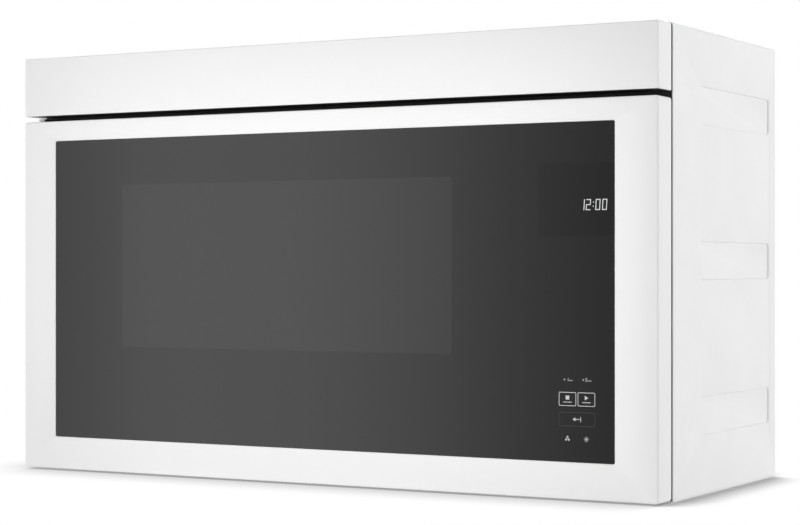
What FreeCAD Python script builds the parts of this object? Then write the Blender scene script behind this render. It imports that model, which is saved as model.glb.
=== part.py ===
import FreeCAD, Part
import math
import os
from types import SimpleNamespace

import Sketcher

# Over the range microwave, flush front. Millimetres. +X right, front at -Y, +Z up.
# Origin: middle of the footprint, at the bottom.

driving_sizes = {
    # whole object
    "overall_width": 758.8,
    "overall_depth": 325.0,
    "overall_height": 457.2,
    "cabinet_sheet": 1.0,
    "base_sheet": 1.2,
    "cavity_sheet": 1.0,
    "clearance": 0.3,
    # front: bar above, slot, door below
    "front_depth": 32.0,
    "front_gap": 4.5,
    "front_margin": 1.55,
    "bar_height": 64.1,
    "slot_height": 6.2,
    "corner_radius": 3.0,
    "edge_radius": 1.6,
    "bar_wall": 3.0,
    "front_corner": 1.2,
    "bar_rib": 2.4,
    "bar_rib_spacing": 200.0,
    "bar_screw_offset": 265.0,
    "bar_screw_setback": 10.5,
    "bar_screw_seat": 1.9,
    "bar_screw_head": 1.6,
    "bar_screw_length": 8.0,
    "bar_vent_width": 27.0,
    "bar_vent_height": 40.0,
    "bar_vent_pitch": 31.0,
    "bar_vent_rise": 8.0,
    "bar_vent_start": -184.0,
    # pressed recesses in each cabinet side
    "emboss_length": 198.0,
    "emboss_height": 38.5,
    "emboss_depth": 1.6,
    "emboss_radius": 5.0,
    "emboss_rear_margin": 20.0,
    "emboss_low": 77.7,
    "emboss_pitch": 152.6,
    # base plate
    "base_flange": 18.0,
    "filter_lip": 5.0,
    "filter_collar": 1.0,
    "louvre_start": 225.0,
    "louvre_front": 88.0,
    "louvre_length": 45.0,
    "louvre_width": 4.0,
    "louvre_pitch": 12.0,
    # door
    "stile_width": 43.6,
    "bottom_rail": 35.6,
    "top_rail": 22.2,
    "door_wall": 3.0,
    "door_front_wall": 6.5,
    "glass_thickness": 4.0,
    "glass_ledge": 8.0,
    "glass_recess": 0.2,
    "choke_panel_level": 26.0,
    "choke_margin": 28.0,
    "choke_height": 7.0,
    "choke_groove": 10.0,
    "choke_cover_thickness": 1.5,
    "window_left": 134.6,
    "window_width": 405.0,
    "window_bottom": 136.3,
    "window_height": 175.5,
    "window_margin": 5.0,
    "glass_corner": 1.5,
    "display_width": 80.3,
    "display_bottom": 109.6,
    "display_height": 70.0,
    # hinge, on the left
    "pivot_inset": 10.5,
    "pivot_depth": 19.0,
    "pin_radius": 3.0,
    "running_gap": 0.05,
    "bushing_radius": 5.0,
    "bushing_flange": 1.0,
    "bushing_wall": 1.6,
    "bushing_length": 13.0,
    "bracket_thickness": 2.5,
    "bracket_half_width": 4.5,
    "upper_arm_rise": 1.85,
    "lower_arm_rise": 1.45,
    # latch, on the right
    "hook_inset": 29.4,
    "hook_thickness": 6.0,
    "hook_height": 10.0,
    "hook_reach": 18.0,
    "hook_travel": 3.6,
    "lower_hook_height": 130.0,
    "upper_hook_height": 280.0,
    "keeper_depth": 6.0,
    "switch_travel": 1.5,
    "plunger_radius": 2.0,
    "solenoid_height": 34.0,
    "solenoid_width": 24.0,
    # oven cavity
    "cavity_offset": 77.4,
    "cavity_width": 520.0,
    "cavity_height": 222.0,
    "cavity_depth": 269.0,
    "cavity_floor": 112.0,
    "cavity_radius": 10.0,
    "ceramic_thickness": 4.0,
    "well_radius": 100.0,
    "well_depth": 15.0,
    "port_radius": 20.0,
    # microwave feed and stirrer
    "waveguide_width": 80.0,
    "waveguide_height": 40.0,
    "waveguide_wall": 1.5,
    "feed_radius": 12.0,
    "plenum_sheet": 1.0,
    "stirrer_radius": 82.0,
    "stirrer_shaft_radius": 3.0,
    "magnetron_width": 96.0,
    "magnetron_offset": 55.0,
    # electrical parts
    "transformer_width": 100.0,
    "transformer_depth": 60.0,
    "transformer_height": 84.0,
    "transformer_rear_gap": 14.5,
    "capacitor_width": 52.0,
    "capacitor_depth": 34.0,
    "capacitor_height": 90.0,
    "board_thickness": 1.6,
    "standoff_radius": 3.0,
    "fan_radius": 48.0,
    "fan_height": 205.0,
    "fan_shaft_radius": 2.5,
    "fan_post_length": 56.5,
    # hood
    "filter_width": 290.5,
    "filter_depth": 142.9,
    "filter_height": 8.0,
    "filter_offset": 163.0,
    "filter_middle": 121.0,
    "filter_frame": 9.0,
    "filter_gap": 0.5,
    "mesh_thickness": 2.0,
    "lens_width": 74.0,
    "lens_depth": 30.0,
    "lens_thickness": 2.0,
    "lens_front_margin": 10.0,
    "blower_height": 58.0,
    "blower_rear_margin": 92.5,
    "scroll_radius": 50.0,
    "scroll_wall": 1.2,
    "wheel_radius": 42.0,
    "wheel_length": 74.0,
    "wheel_start": 48.0,
    "blade_count": 24,
    "blower_motor_radius": 36.0,
    "blower_shaft_radius": 4.0,
    "duct_width": 254.0,
    "duct_depth": 82.6,
    "duct_rear_margin": 17.9,
    # rear panel and wall plate
    "rear_screw_low": 28.5,
    "rear_screw_high": 30.9,
    "rear_screw_side": 48.1,
    "rear_screw_inner": 160.0,
    "tab_offset": 240.0,
    "tab_height": 14.0,
    "tab_half_width": 20.0,
    "tab_thickness": 2.0,
    "tab_hook": 16.0,
    "wall_plate_side": 28.1,
    "wall_plate_top": 55.9,
    "wall_plate_window": 70.0,
    # fastening
    "rear_recess": 9.5,
    "wall_plate_sheet": 1.2,
    "lag_spacing_across": 406.4,
    "lag_spacing_up": 254.0,
    "lag_hole_radius": 4.0,
    "top_bolt_spacing": 610.0,
    "top_bolt_front": 40.0,
    "top_bolt_radius": 3.3,
    "cord_hole_radius": 15.0,
    "cord_bore_radius": 8.0,
    "cord_inset": 75.0,
    "cord_rear_margin": 100.0,
    "screw_radius": 2.0,
    "screw_head_radius": 4.0,
    "screw_head_height": 2.2,
}

doc = FreeCAD.newDocument("over_range_microwave")
sheet = doc.addObject("Spreadsheet::Sheet", "dims")
for row, (alias, number) in enumerate(driving_sizes.items(), start=1):
    sheet.set(f"A{row}", alias)
    sheet.set(f"B{row}", str(number))
    sheet.setAlias(f"B{row}", alias)
doc.recompute()


class Size:
    """A length that is a number here and an expression on the sheet's cells in the document."""

    def __init__(self, value, text=None):
        self.value = float(value)
        self.text = text or f"({self.value!r})"

    def __add__(self, other):
        other = as_size(other)
        return Size(self.value + other.value, f"({self.text} + {other.text})")

    def __sub__(self, other):
        other = as_size(other)
        return Size(self.value - other.value, f"({self.text} - {other.text})")

    def __mul__(self, other):
        other = as_size(other)
        return Size(self.value * other.value, f"({self.text} * {other.text})")

    def __truediv__(self, other):
        other = as_size(other)
        return Size(self.value / other.value, f"({self.text} / {other.text})")

    def __radd__(self, other):
        return as_size(other) + self

    def __rsub__(self, other):
        return as_size(other) - self

    def __rmul__(self, other):
        return as_size(other) * self

    def __neg__(self):
        return Size(-self.value, f"(-{self.text})")

    def __abs__(self):
        return self if self.value >= 0 else -self


def as_size(number):
    return number if isinstance(number, Size) else Size(number)


d = SimpleNamespace(**{name: Size(sheet.get(name), "dims." + name) for name in driving_sizes})

# places that several pieces share
half_width = d.overall_width / 2
front_y = -d.overall_depth / 2
rear_y = d.overall_depth / 2
door_back_y = front_y + d.front_depth
plate_y = door_back_y + d.front_gap
plate_back_y = plate_y + d.cabinet_sheet
rear_panel_y = rear_y - d.rear_recess
rear_panel_front_y = rear_panel_y - d.cabinet_sheet
door_bottom = d.front_margin
bar_top = d.overall_height - d.front_margin
bar_bottom = bar_top - d.bar_height
door_top = bar_bottom - d.slot_height
side_x = half_width - d.cabinet_sheet
inner_x = side_x - d.clearance
wall_bottom = d.base_sheet + d.clearance
roof_z = d.overall_height - d.cabinet_sheet
wall_top = roof_z - d.clearance
bore_radius = d.screw_radius + d.running_gap

cavity_left = -half_width + d.cavity_offset
cavity_right = cavity_left + d.cavity_width
cavity_top = d.cavity_floor + d.cavity_height
cavity_back_y = plate_back_y + d.cavity_depth
cavity_outer_top = cavity_top + d.cavity_sheet
cavity_outer_right = cavity_right + d.cavity_sheet
stirrer_x = (cavity_left + cavity_right) / 2
stirrer_y = (plate_back_y + cavity_back_y) / 2
well_floor = d.cavity_floor - d.well_depth
waveguide_top = well_floor - d.cavity_sheet
plenum_top = waveguide_top - d.waveguide_height
magnetron_x = cavity_outer_right + d.magnetron_offset

pivot_x = -half_width + d.pivot_inset
pivot_y = front_y + d.pivot_depth
hook_x = half_width - d.hook_inset
hook_tip_y = plate_y + d.hook_reach
upper_arm_z = door_top + d.upper_arm_rise
lower_arm_z = door_bottom + d.lower_arm_rise
notch_top = lower_arm_z + d.bracket_thickness + d.bushing_flange + d.clearance

blower_y = rear_y - d.blower_rear_margin
blower_z = cavity_outer_top + d.blower_height
cord_x = half_width - d.cord_inset
cord_y = rear_y - d.cord_rear_margin

planes = {"XY": ("XY_Plane", 1), "XZ": ("XZ_Plane", -1), "YZ": ("YZ_Plane", 1)}
pieces = []


# ---- sketched pieces ----
class Outline:
    """Gathers a sketch's geometry and its sheet-driven constraints, which are then added in one go."""

    def __init__(self):
        self.geometry = []
        self.constraints = []
        self.driven = {}

    def hold(self, constraint, size):
        self.driven[len(self.constraints)] = size.text
        self.constraints.append(constraint)

    def pin_point(self, geometry, point, x, y):
        """Holds a sketch point at two coordinates."""
        for kind, place in (("DistanceX", as_size(x)), ("DistanceY", as_size(y))):
            self.hold(Sketcher.Constraint(kind, -1, 1, geometry, point, place.value), place)

    def draw_on(self, sketch):
        sketch.addGeometry(self.geometry)
        sketch.addConstraint(self.constraints)
        for index, text in self.driven.items():
            sketch.setExpression(f"Constraints[{index}]", text)


def polygon(plan, points):
    points = [(as_size(x), as_size(y)) for x, y in points]
    first = len(plan.geometry)
    for (x0, y0), (x1, y1) in zip(points, points[1:] + points[:1]):
        start = FreeCAD.Vector(x0.value, y0.value, 0)
        end = FreeCAD.Vector(x1.value, y1.value, 0)
        plan.geometry.append(Part.LineSegment(start, end))
    for step, (x, y) in enumerate(points):
        following = first + (step + 1) % len(points)
        plan.constraints.append(Sketcher.Constraint("Coincident", first + step, 2, following, 1))
        plan.pin_point(first + step, 1, x, y)


def rectangle(plan, x0, y0, x1, y1):
    polygon(plan, [(x0, y0), (x1, y0), (x1, y1), (x0, y1)])


def circle(plan, x, y, radius):
    x, y, radius = as_size(x), as_size(y), as_size(radius)
    index = len(plan.geometry)
    centre = FreeCAD.Vector(x.value, y.value, 0)
    plan.geometry.append(Part.Circle(centre, FreeCAD.Vector(0, 0, 1), radius.value))
    plan.pin_point(index, 3, x, y)
    plan.hold(Sketcher.Constraint("Radius", index, radius.value), radius)


def rounded(plan, x0, y0, x1, y1, radius):
    """A rectangle with round corners: four arcs joined by four tangent lines."""
    x0, y0, x1, y1, radius = (as_size(n) for n in (x0, y0, x1, y1, radius))
    centres = [(x1 - radius, y1 - radius), (x0 + radius, y1 - radius),
               (x0 + radius, y0 + radius), (x1 - radius, y0 + radius)]
    first = len(plan.geometry)
    arcs = []
    for quarter, (x, y) in enumerate(centres):
        ring = Part.Circle(FreeCAD.Vector(x.value, y.value, 0), FreeCAD.Vector(0, 0, 1), radius.value)
        start = quarter * math.pi / 2
        arcs.append(Part.ArcOfCircle(ring, start, start + math.pi / 2))
    lines = [Part.LineSegment(arc.EndPoint, following.StartPoint)
             for arc, following in zip(arcs, arcs[1:] + arcs[:1])]
    plan.geometry += arcs + lines
    for quarter, (x, y) in enumerate(centres):
        line = first + 4 + quarter
        following = first + (quarter + 1) % 4
        plan.constraints.append(Sketcher.Constraint("Tangent", first + quarter, 2, line, 1))
        plan.constraints.append(Sketcher.Constraint("Tangent", line, 2, following, 1))
        plan.pin_point(first + quarter, 3, x, y)
        plan.hold(Sketcher.Constraint("Radius", first + quarter, radius.value), radius)


def new_body(label, is_piece=True):
    body = doc.addObject("PartDesign::Body", label)
    body.Label = label
    if is_piece:
        pieces.append(body)
    return body


def slab(body, plane, start, end, *outlines, cut=False):
    """Pads or pockets sketched outlines from one level to another along the plane's axis."""
    role, normal = planes[plane]
    start, end = as_size(start), as_size(end)
    sketch = body.newObject("Sketcher::SketchObject", body.Name + "_outline")
    origin_plane = next(f for f in body.Origin.OriginFeatures if f.Role == role)
    sketch.AttachmentSupport = [(origin_plane, "")]
    sketch.MapMode = "FlatFace"
    sketch.setExpression("AttachmentOffset.Base.z", (start * normal).text)
    plan = Outline()
    for draw, *places in outlines:
        draw(plan, *places)
    plan.draw_on(sketch)
    kind = "PartDesign::Pocket" if cut else "PartDesign::Pad"
    feature = body.newObject(kind, body.Name + ("_cut" if cut else "_pad"))
    feature.Profile = sketch
    feature.setExpression("Length", abs(end - start).text)
    along_normal = (end.value - start.value) * normal > 0
    feature.Reversed = along_normal if cut else not along_normal
    return feature


def repeat_along(body, role, count, spacing):
    """Repeats the body's last feature in a straight row, and makes the row the tip."""
    original = body.Tip
    pattern = body.newObject("PartDesign::LinearPattern", body.Name + "_row")
    pattern.Originals = [original]
    pattern.Direction = (next(f for f in body.Origin.OriginFeatures if f.Role == role), [""])
    pattern.setExpression("Length", (as_size(spacing) * (count - 1)).text)
    pattern.Occurrences = count
    body.Tip = pattern


def repeat_around(body, role, count):
    """Repeats the body's last feature evenly about an axis through its origin."""
    original = body.Tip
    pattern = body.newObject("PartDesign::PolarPattern", body.Name + "_ring")
    pattern.Originals = [original]
    pattern.Axis = (next(f for f in body.Origin.OriginFeatures if f.Role == role), [""])
    pattern.Angle = 360
    pattern.setExpression("Occurrences", as_size(count).text)
    body.Tip = pattern


def round_edges(body, radius, chosen):
    """Fillets the edges of the body's present shape that the test picks."""
    doc.recompute()
    feature = body.Tip
    names = [f"Edge{n}" for n, edge in enumerate(feature.Shape.Edges, start=1) if chosen(edge)]
    fillet = body.newObject("PartDesign::Fillet", body.Name + "_round")
    fillet.Base = (feature, names)
    fillet.setExpression("Radius", radius.text)
    return fillet


def runs_along(edge, axis):
    ends = [vertex.Point for vertex in edge.Vertexes]
    if len(ends) != 2:
        return False
    step = ends[1] - ends[0]
    return abs(getattr(step, axis)) > 0.999 * step.Length


def at(edge, axis, place):
    box = edge.BoundBox
    low, high = getattr(box, axis.upper() + "Min"), getattr(box, axis.upper() + "Max")
    return abs(low - place.value) < 0.01 and abs(high - place.value) < 0.01


# ---- pieces from primitives ----
def block(name, low, high):
    box = doc.addObject("Part::Box", name)
    low = [as_size(n) for n in low]
    high = [as_size(n) for n in high]
    for side, a, b in zip(("Length", "Width", "Height"), low, high):
        box.setExpression(side, (b - a).text)
    for axis, a in zip("xyz", low):
        box.setExpression("Placement.Base." + axis, a.text)
    return box


def rod(name, axis, start, length, radius):
    """A cylinder from its start point along +X, +Y or +Z."""
    cylinder = doc.addObject("Part::Cylinder", name)
    turns = {"x": ((0, 1, 0), 90), "y": ((1, 0, 0), -90), "z": ((0, 0, 1), 0)}
    direction, angle = turns[axis]
    cylinder.Placement.Rotation = FreeCAD.Rotation(FreeCAD.Vector(*direction), angle)
    cylinder.setExpression("Radius", as_size(radius).text)
    cylinder.setExpression("Height", as_size(length).text)
    for name_of_axis, a in zip("xyz", start):
        cylinder.setExpression("Placement.Base." + name_of_axis, as_size(a).text)
    return cylinder


def join(name, *shapes):
    if len(shapes) == 1:
        return shapes[0]
    fuse = doc.addObject("Part::MultiFuse", name)
    fuse.Shapes = list(shapes)
    fuse.Refine = True
    return fuse


def carve(name, base, *tools):
    result = doc.addObject("Part::Cut", name)
    result.Base = base
    result.Tool = join(name + "_tools", *tools)
    return result


def group(name, *shapes):
    compound = doc.addObject("Part::Compound", name)
    compound.Links = list(shapes)
    return compound


def piece(label, shape):
    shape.Label = label
    pieces.append(shape)
    return shape


def soften(name, base, radius, axis):
    """Rounds every straight edge of a primitive piece that runs along one axis."""
    doc.recompute()
    fillet = doc.addObject("Part::Fillet", name)
    fillet.Base = base
    numbered = enumerate(base.Shape.Edges, start=1)
    fillet.Edges = [(n, radius.value, radius.value) for n, edge in numbered if runs_along(edge, axis)]
    return fillet


def screws(label, axis, heads, shank):
    """Pan-head screws: each head lies from its seat against +axis or -axis, its shank goes the other way."""
    made = []
    for number, (x, y, z, side) in enumerate(heads):
        seat = {"x": as_size(x), "y": as_size(y), "z": as_size(z)}
        head, stem = dict(seat), dict(seat)
        if side < 0:
            head[axis] = seat[axis] - d.screw_head_height
        else:
            stem[axis] = seat[axis] - shank
        cap = rod(f"{label}_head_{number}", axis, list(head.values()), d.screw_head_height,
                  d.screw_head_radius)
        pin = rod(f"{label}_shank_{number}", axis, list(stem.values()), shank, d.screw_radius)
        made.append(join(f"{label}_screw_{number}", cap, pin))
    return piece(label, group(label, *made))


# ---- cabinet ----
emboss_y0 = rear_y - d.emboss_rear_margin - d.emboss_length
emboss_y1 = rear_y - d.emboss_rear_margin
top_bolts = [(side * d.top_bolt_spacing / 2, plate_y + d.top_bolt_front) for side in (-1, 1)]


def make_outer_cabinet():
    body = new_body("outer_cabinet")
    slab(body, "XZ", plate_y, rear_y, (polygon, [
        (-half_width, wall_bottom), (-half_width, d.overall_height),
        (half_width, d.overall_height), (half_width, wall_bottom),
        (side_x, wall_bottom), (side_x, roof_z), (-side_x, roof_z), (-side_x, wall_bottom)]))
    round_edges(body, d.corner_radius,
                lambda edge: runs_along(edge, "y") and at(edge, "z", d.overall_height))
    wall = d.cabinet_sheet
    recesses = []
    bosses = []
    for level in range(3):
        z0 = d.emboss_low + level * d.emboss_pitch - d.emboss_height / 2
        z1 = z0 + d.emboss_height
        recesses.append((rounded, emboss_y0, z0, emboss_y1, z1, d.emboss_radius))
        bosses.append((rounded, emboss_y0 - wall, z0 - wall, emboss_y1 + wall, z1 + wall,
                       d.emboss_radius + wall))
    for side in (-1, 1):
        slab(body, "YZ", side * side_x, side * (side_x - d.emboss_depth), *bosses)
        slab(body, "YZ", side * half_width, side * (half_width - d.emboss_depth), *recesses, cut=True)
    duct_y1 = rear_y - d.duct_rear_margin
    openings = [(rounded, -d.duct_width / 2, duct_y1 - d.duct_depth, d.duct_width / 2, duct_y1,
                 d.corner_radius),
                (circle, cord_x, cord_y, d.cord_hole_radius)]
    slab(body, "XY", d.overall_height, roof_z, *openings, cut=True)
    nut_height, nut_radius = 10.0, 8.0
    slab(body, "XY", roof_z, roof_z - nut_height, *[(circle, x, y, nut_radius) for x, y in top_bolts])
    slab(body, "XY", d.overall_height, roof_z - nut_height,
         *[(circle, x, y, d.top_bolt_radius) for x, y in top_bolts], cut=True)


filter_y = plate_y + d.filter_middle


def filter_box(side, grow):
    """The outline of one grease filter, grown on every side."""
    x = side * d.filter_offset
    half_x = d.filter_width / 2 + grow
    half_y = d.filter_depth / 2 + grow
    return x - half_x, filter_y - half_y, x + half_x, filter_y + half_y


def lens_box(side, grow):
    x = side * d.filter_offset
    y0 = plate_y + d.lens_front_margin
    return x - d.lens_width / 2 - grow, y0 - grow, x + d.lens_width / 2 + grow, y0 + d.lens_depth + grow


def make_base_plate():
    body = new_body("base_plate")
    edge_x = half_width - d.clearance
    flange_top = d.base_sheet + d.base_flange
    flange_y0 = plate_back_y + d.clearance
    flange_y1 = rear_panel_front_y - d.clearance
    collar_top = d.filter_height + 2 * d.filter_collar
    slab(body, "XY", 0, d.base_sheet, (rounded, -edge_x, plate_y, edge_x, rear_panel_y, d.corner_radius))
    for side in (-1, 1):
        slab(body, "XY", d.base_sheet, flange_top,
             (rectangle, side * (inner_x - d.cabinet_sheet), flange_y0, side * inner_x, flange_y1))
    for side in (-1, 1):
        seat = filter_box(side, d.filter_gap)
        slab(body, "XY", 0, collar_top, (rectangle, *filter_box(side, d.filter_gap + d.filter_collar)))
        slab(body, "XY", 0, collar_top - d.filter_collar, (rectangle, *seat), cut=True)
        slab(body, "XY", collar_top, 0, (rectangle, *filter_box(side, -d.filter_lip)), cut=True)
    lens_holes = [(rounded, *lens_box(side, d.clearance), d.corner_radius) for side in (-1, 1)]
    slab(body, "XY", d.base_sheet, 0, *lens_holes, cut=True)
    slab(body, "XY", d.base_sheet, 0,
         (rounded, d.louvre_start, d.louvre_front, d.louvre_start + d.louvre_width,
          d.louvre_front + d.louvre_length, 1.9), cut=True)
    repeat_along(body, "X_Axis", 10, d.louvre_pitch)


rear_screw_x = inner_x - d.rear_screw_side
rear_screw_xs = (-rear_screw_x, -d.rear_screw_inner, d.rear_screw_inner, rear_screw_x)
rear_screw_zs = (wall_bottom + d.rear_screw_low, wall_top - d.rear_screw_high)
rear_screw_places = [(x, z) for x in rear_screw_xs for z in rear_screw_zs]
tab_xs = (-d.tab_offset, d.tab_offset)
tab_top = d.tab_height + d.tab_thickness


def make_rear_panel():
    body = new_body("rear_panel")
    flange = 5.0
    flange_bottom = tab_top + 8
    wall = d.cabinet_sheet
    slab(body, "XZ", rear_panel_front_y, rear_panel_y,
         (rectangle, -inner_x, wall_bottom, inner_x, wall_top))
    for side in (-1, 1):
        slab(body, "XZ", rear_panel_front_y, rear_panel_front_y - flange,
             (rectangle, side * (inner_x - wall), flange_bottom, side * inner_x, wall_top))
    slab(body, "XZ", rear_panel_front_y, rear_panel_front_y - flange,
         (rectangle, -inner_x, wall_top - wall, inner_x, wall_top))
    slot_half = d.tab_half_width + 2
    holes = [(circle, x, z, bore_radius) for x, z in rear_screw_places]
    holes += [(rectangle, x - slot_half, d.tab_height - 2, x + slot_half, tab_top + d.clearance)
              for x in tab_xs]
    slab(body, "XZ", rear_panel_y, rear_panel_front_y, *holes, cut=True)
    inlet_z, inlet_height, inlet_radius, inlet_pitch = d.fan_height - 40, 5.0, 2.4, 10
    inlet_x0, inlet_x1 = 262.0, 338.0
    slab(body, "XZ", rear_panel_y, rear_panel_front_y,
         (rounded, inlet_x0, inlet_z, inlet_x1, inlet_z + inlet_height, inlet_radius), cut=True)
    repeat_along(body, "Z_Axis", 9, inlet_pitch)


def make_wall_plate():
    """The steel plate that is screwed to the wall: the cabinet hooks on its two tabs."""
    body = new_body("wall_mounting_plate")
    sheet = d.wall_plate_sheet
    edge_x = inner_x - d.wall_plate_side
    bottom, top = d.tab_height, wall_top - d.wall_plate_top
    inner_y = rear_y - sheet
    lip_y = rear_panel_y + d.clearance
    lip_x = edge_x - 50
    slab(body, "XZ", inner_y, rear_y, (rounded, -edge_x, bottom, edge_x, top, 2 * d.corner_radius))
    for z0, z1 in ((bottom, bottom + sheet), (top - sheet, top)):
        slab(body, "XZ", inner_y, lip_y, (rectangle, -lip_x, z0, lip_x, z1))
    hook_y = rear_panel_front_y - 6
    for x in tab_xs:
        x0, x1 = x - d.tab_half_width, x + d.tab_half_width
        slab(body, "XZ", inner_y, hook_y, (rectangle, x0, d.tab_height, x1, tab_top))
        slab(body, "XY", d.tab_height, d.tab_height + d.tab_hook,
             (rectangle, x0, hook_y, x1, hook_y + d.tab_thickness))
    middle = (bottom + top) / 2
    holes = [(circle, x * d.lag_spacing_across / 2, middle + z * d.lag_spacing_up / 2, d.lag_hole_radius)
             for x in (-1, 1) for z in (-1, 1)]
    half, corner, pitch = d.wall_plate_window / 2, 12.0, 190.0
    window_z = middle - 2
    windows = [(rounded, step * pitch - half, window_z - half, step * pitch + half, window_z + half, corner)
               for step in (-1.5, -0.5, 0.5, 1.5)]
    slab(body, "XZ", rear_y, inner_y, *holes, *windows, cut=True)


def make_front_plate():
    """The steel face of the chassis: the oven opening, the vent behind the bar, hinge and hook slots."""
    body = new_body("front_plate")
    flange, flange_rise = 14.0, 20.0
    slab(body, "XZ", plate_y, plate_back_y, (rectangle, -inner_x, wall_bottom, inner_x, wall_top))
    for side in (-1, 1):
        slab(body, "XZ", plate_back_y, plate_back_y + flange,
             (rectangle, side * (inner_x - d.cabinet_sheet), wall_bottom + flange_rise,
              side * inner_x, wall_top))
    slab(body, "XZ", plate_y, plate_back_y,
         (rounded, cavity_left, d.cavity_floor, cavity_right, cavity_top, d.cavity_radius), cut=True)
    vent_z = bar_bottom + d.bar_vent_rise
    slab(body, "XZ", plate_y, plate_back_y,
         (rounded, d.bar_vent_start, vent_z, d.bar_vent_start + d.bar_vent_width,
          vent_z + d.bar_vent_height, d.corner_radius), cut=True)
    repeat_along(body, "X_Axis", 12, d.bar_vent_pitch)
    holes = []
    window_left, window_right = hook_x - 6.5, hook_x + 7.5
    for z in (d.lower_hook_height, d.upper_hook_height):
        holes.append((rectangle, window_left, z - d.hook_travel - 4, window_right, z + hook_rise(z) + 2.5))
    slot, arm_gap = d.bracket_half_width + 0.5, 0.4
    for z in (lower_arm_z, upper_arm_z):
        holes.append((rectangle, pivot_x - slot, z - arm_gap, pivot_x + slot,
                      z + d.bracket_thickness + arm_gap))
    holes += [(circle, x, z, bore_radius) for x, z in hinge_screw_places]
    slab(body, "XZ", plate_y, plate_back_y, *holes, cut=True)


def hook_rise(z):
    """The upper hook's tail is taller, because it works two switches."""
    return d.hook_height * 2 + 1 if z.value == d.upper_hook_height.value else d.hook_height


hinge_flange_x = pivot_x + 22
hinge_screw_rises = (14, 30)
hinge_screw_places = [(hinge_flange_x, arm_z + rise) for arm_z in (lower_arm_z, upper_arm_z)
                      for rise in hinge_screw_rises]


def make_plenum_plate():
    """The full-width deck between the hood's air space and the oven: it carries the electrical parts."""
    body = new_body("plenum_plate")
    z0 = plenum_top - d.plenum_sheet
    y0, y1 = plate_back_y, rear_panel_front_y
    edge_x = inner_x - d.cabinet_sheet - d.clearance
    flange, inset = 12.0, 16.0
    slab(body, "XY", z0, plenum_top, (rectangle, -edge_x, y0, edge_x, y1))
    for side in (-1, 1):
        slab(body, "YZ", side * edge_x, side * (edge_x - d.cabinet_sheet),
             (rectangle, y0 + inset, z0 - flange, y1 - inset, z0))
    riser_radius = 8.0
    riser = (rounded, -inner_x + riser_radius, -70, cavity_left - 12, 110, riser_radius)
    shaft_hole = (circle, stirrer_x, stirrer_y, d.stirrer_shaft_radius + 4)
    slab(body, "XY", plenum_top, z0, riser, shaft_hole, cut=True)


def make_cord_bushing():
    """The mains lead's bushing: a sleeve under the roof, a flange, and a neck with a wider mouth."""
    flange_thickness, flange_overlap, neck_gap = 2, 3, 0.2
    sleeve_length, sleeve_wall, mouth_flare = 6, 3, 3
    flange_z, sleeve_z = roof_z - flange_thickness, roof_z - flange_thickness - sleeve_length
    sleeve = rod("bushing_sleeve", "z", (cord_x, cord_y, sleeve_z), sleeve_length + 1,
                 d.cord_bore_radius + sleeve_wall)
    flange = rod("bushing_flange_top", "z", (cord_x, cord_y, flange_z), flange_thickness,
                 d.cord_hole_radius + flange_overlap)
    neck = rod("bushing_neck", "z", (cord_x, cord_y, flange_z), d.cabinet_sheet + flange_thickness,
               d.cord_hole_radius - neck_gap)
    bore = rod("bushing_bore", "z", (cord_x, cord_y, sleeve_z - 1), sleeve_length + 4, d.cord_bore_radius)
    mouth = rod("bushing_mouth", "z", (cord_x, cord_y, roof_z), 3, d.cord_bore_radius + mouth_flare)
    piece("cord_bushing", carve("cord_bushing", join("bushing_solid", sleeve, flange, neck), bore, mouth))


# ---- top bar ----
bar_screw_xs = (-d.bar_screw_offset, d.bar_screw_offset)
bar_screw_y = plate_y - d.bar_screw_setback
bar_screw_z = bar_top - d.bar_screw_seat


def make_vent_bar():
    body = new_body("vent_bar")
    wall = d.bar_wall
    slab(body, "XZ", door_back_y, front_y,
         (rounded, -half_width, bar_bottom, half_width, bar_top, d.front_corner))
    round_edges(body, d.edge_radius, lambda edge: at(edge, "y", front_y))
    slab(body, "XZ", door_back_y, front_y + wall,
         (rectangle, -half_width + wall, bar_bottom + wall, half_width - wall, bar_top - wall), cut=True)
    ribs = [(rectangle, step * d.bar_rib_spacing - d.bar_rib / 2, bar_bottom + wall,
             step * d.bar_rib_spacing + d.bar_rib / 2, bar_top - wall) for step in (-1, 0, 1)]
    slab(body, "XZ", front_y + wall, door_back_y - 8, *ribs)
    seats = [(circle, x, bar_screw_y, d.screw_head_radius + 0.4) for x in bar_screw_xs]
    slab(body, "XY", bar_top, bar_screw_z, *seats, cut=True)
    bores = [(circle, x, bar_screw_y, bore_radius) for x in bar_screw_xs]
    slab(body, "XY", bar_top, bar_top - wall, *bores, cut=True)


def make_bar_brackets():
    made = []
    top = bar_top - d.bar_wall - d.clearance
    half, lip, foot, tab, back_sheet = 15, 8, 22, 2.5, 2
    for number, x in enumerate(bar_screw_xs):
        deck = block(f"bar_tab_{number}", (x - half, bar_screw_y - lip, top - tab), (x + half, plate_y, top))
        back = block(f"bar_back_{number}", (x - half, plate_y - back_sheet, top - foot),
                     (x + half, plate_y, top))
        hole = rod(f"bar_hole_{number}", "z", (x, bar_screw_y, top - 2 * tab), d.bar_screw_length,
                   bore_radius)
        made.append(carve(f"bar_bracket_{number}", join(f"bar_angle_{number}", deck, back), hole))
    piece("bar_brackets", group("bar_brackets", *made))


def make_bar_screws():
    made = []
    for number, x in enumerate(bar_screw_xs):
        head = rod(f"bar_screw_head_{number}", "z", (x, bar_screw_y, bar_screw_z), d.bar_screw_head,
                   d.screw_head_radius)
        shank = rod(f"bar_screw_shank_{number}", "z", (x, bar_screw_y, bar_screw_z - d.bar_screw_length),
                    d.bar_screw_length, d.screw_radius)
        made.append(join(f"bar_screw_{number}", head, shank))
    piece("bar_screws", group("bar_screws", *made))


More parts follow.
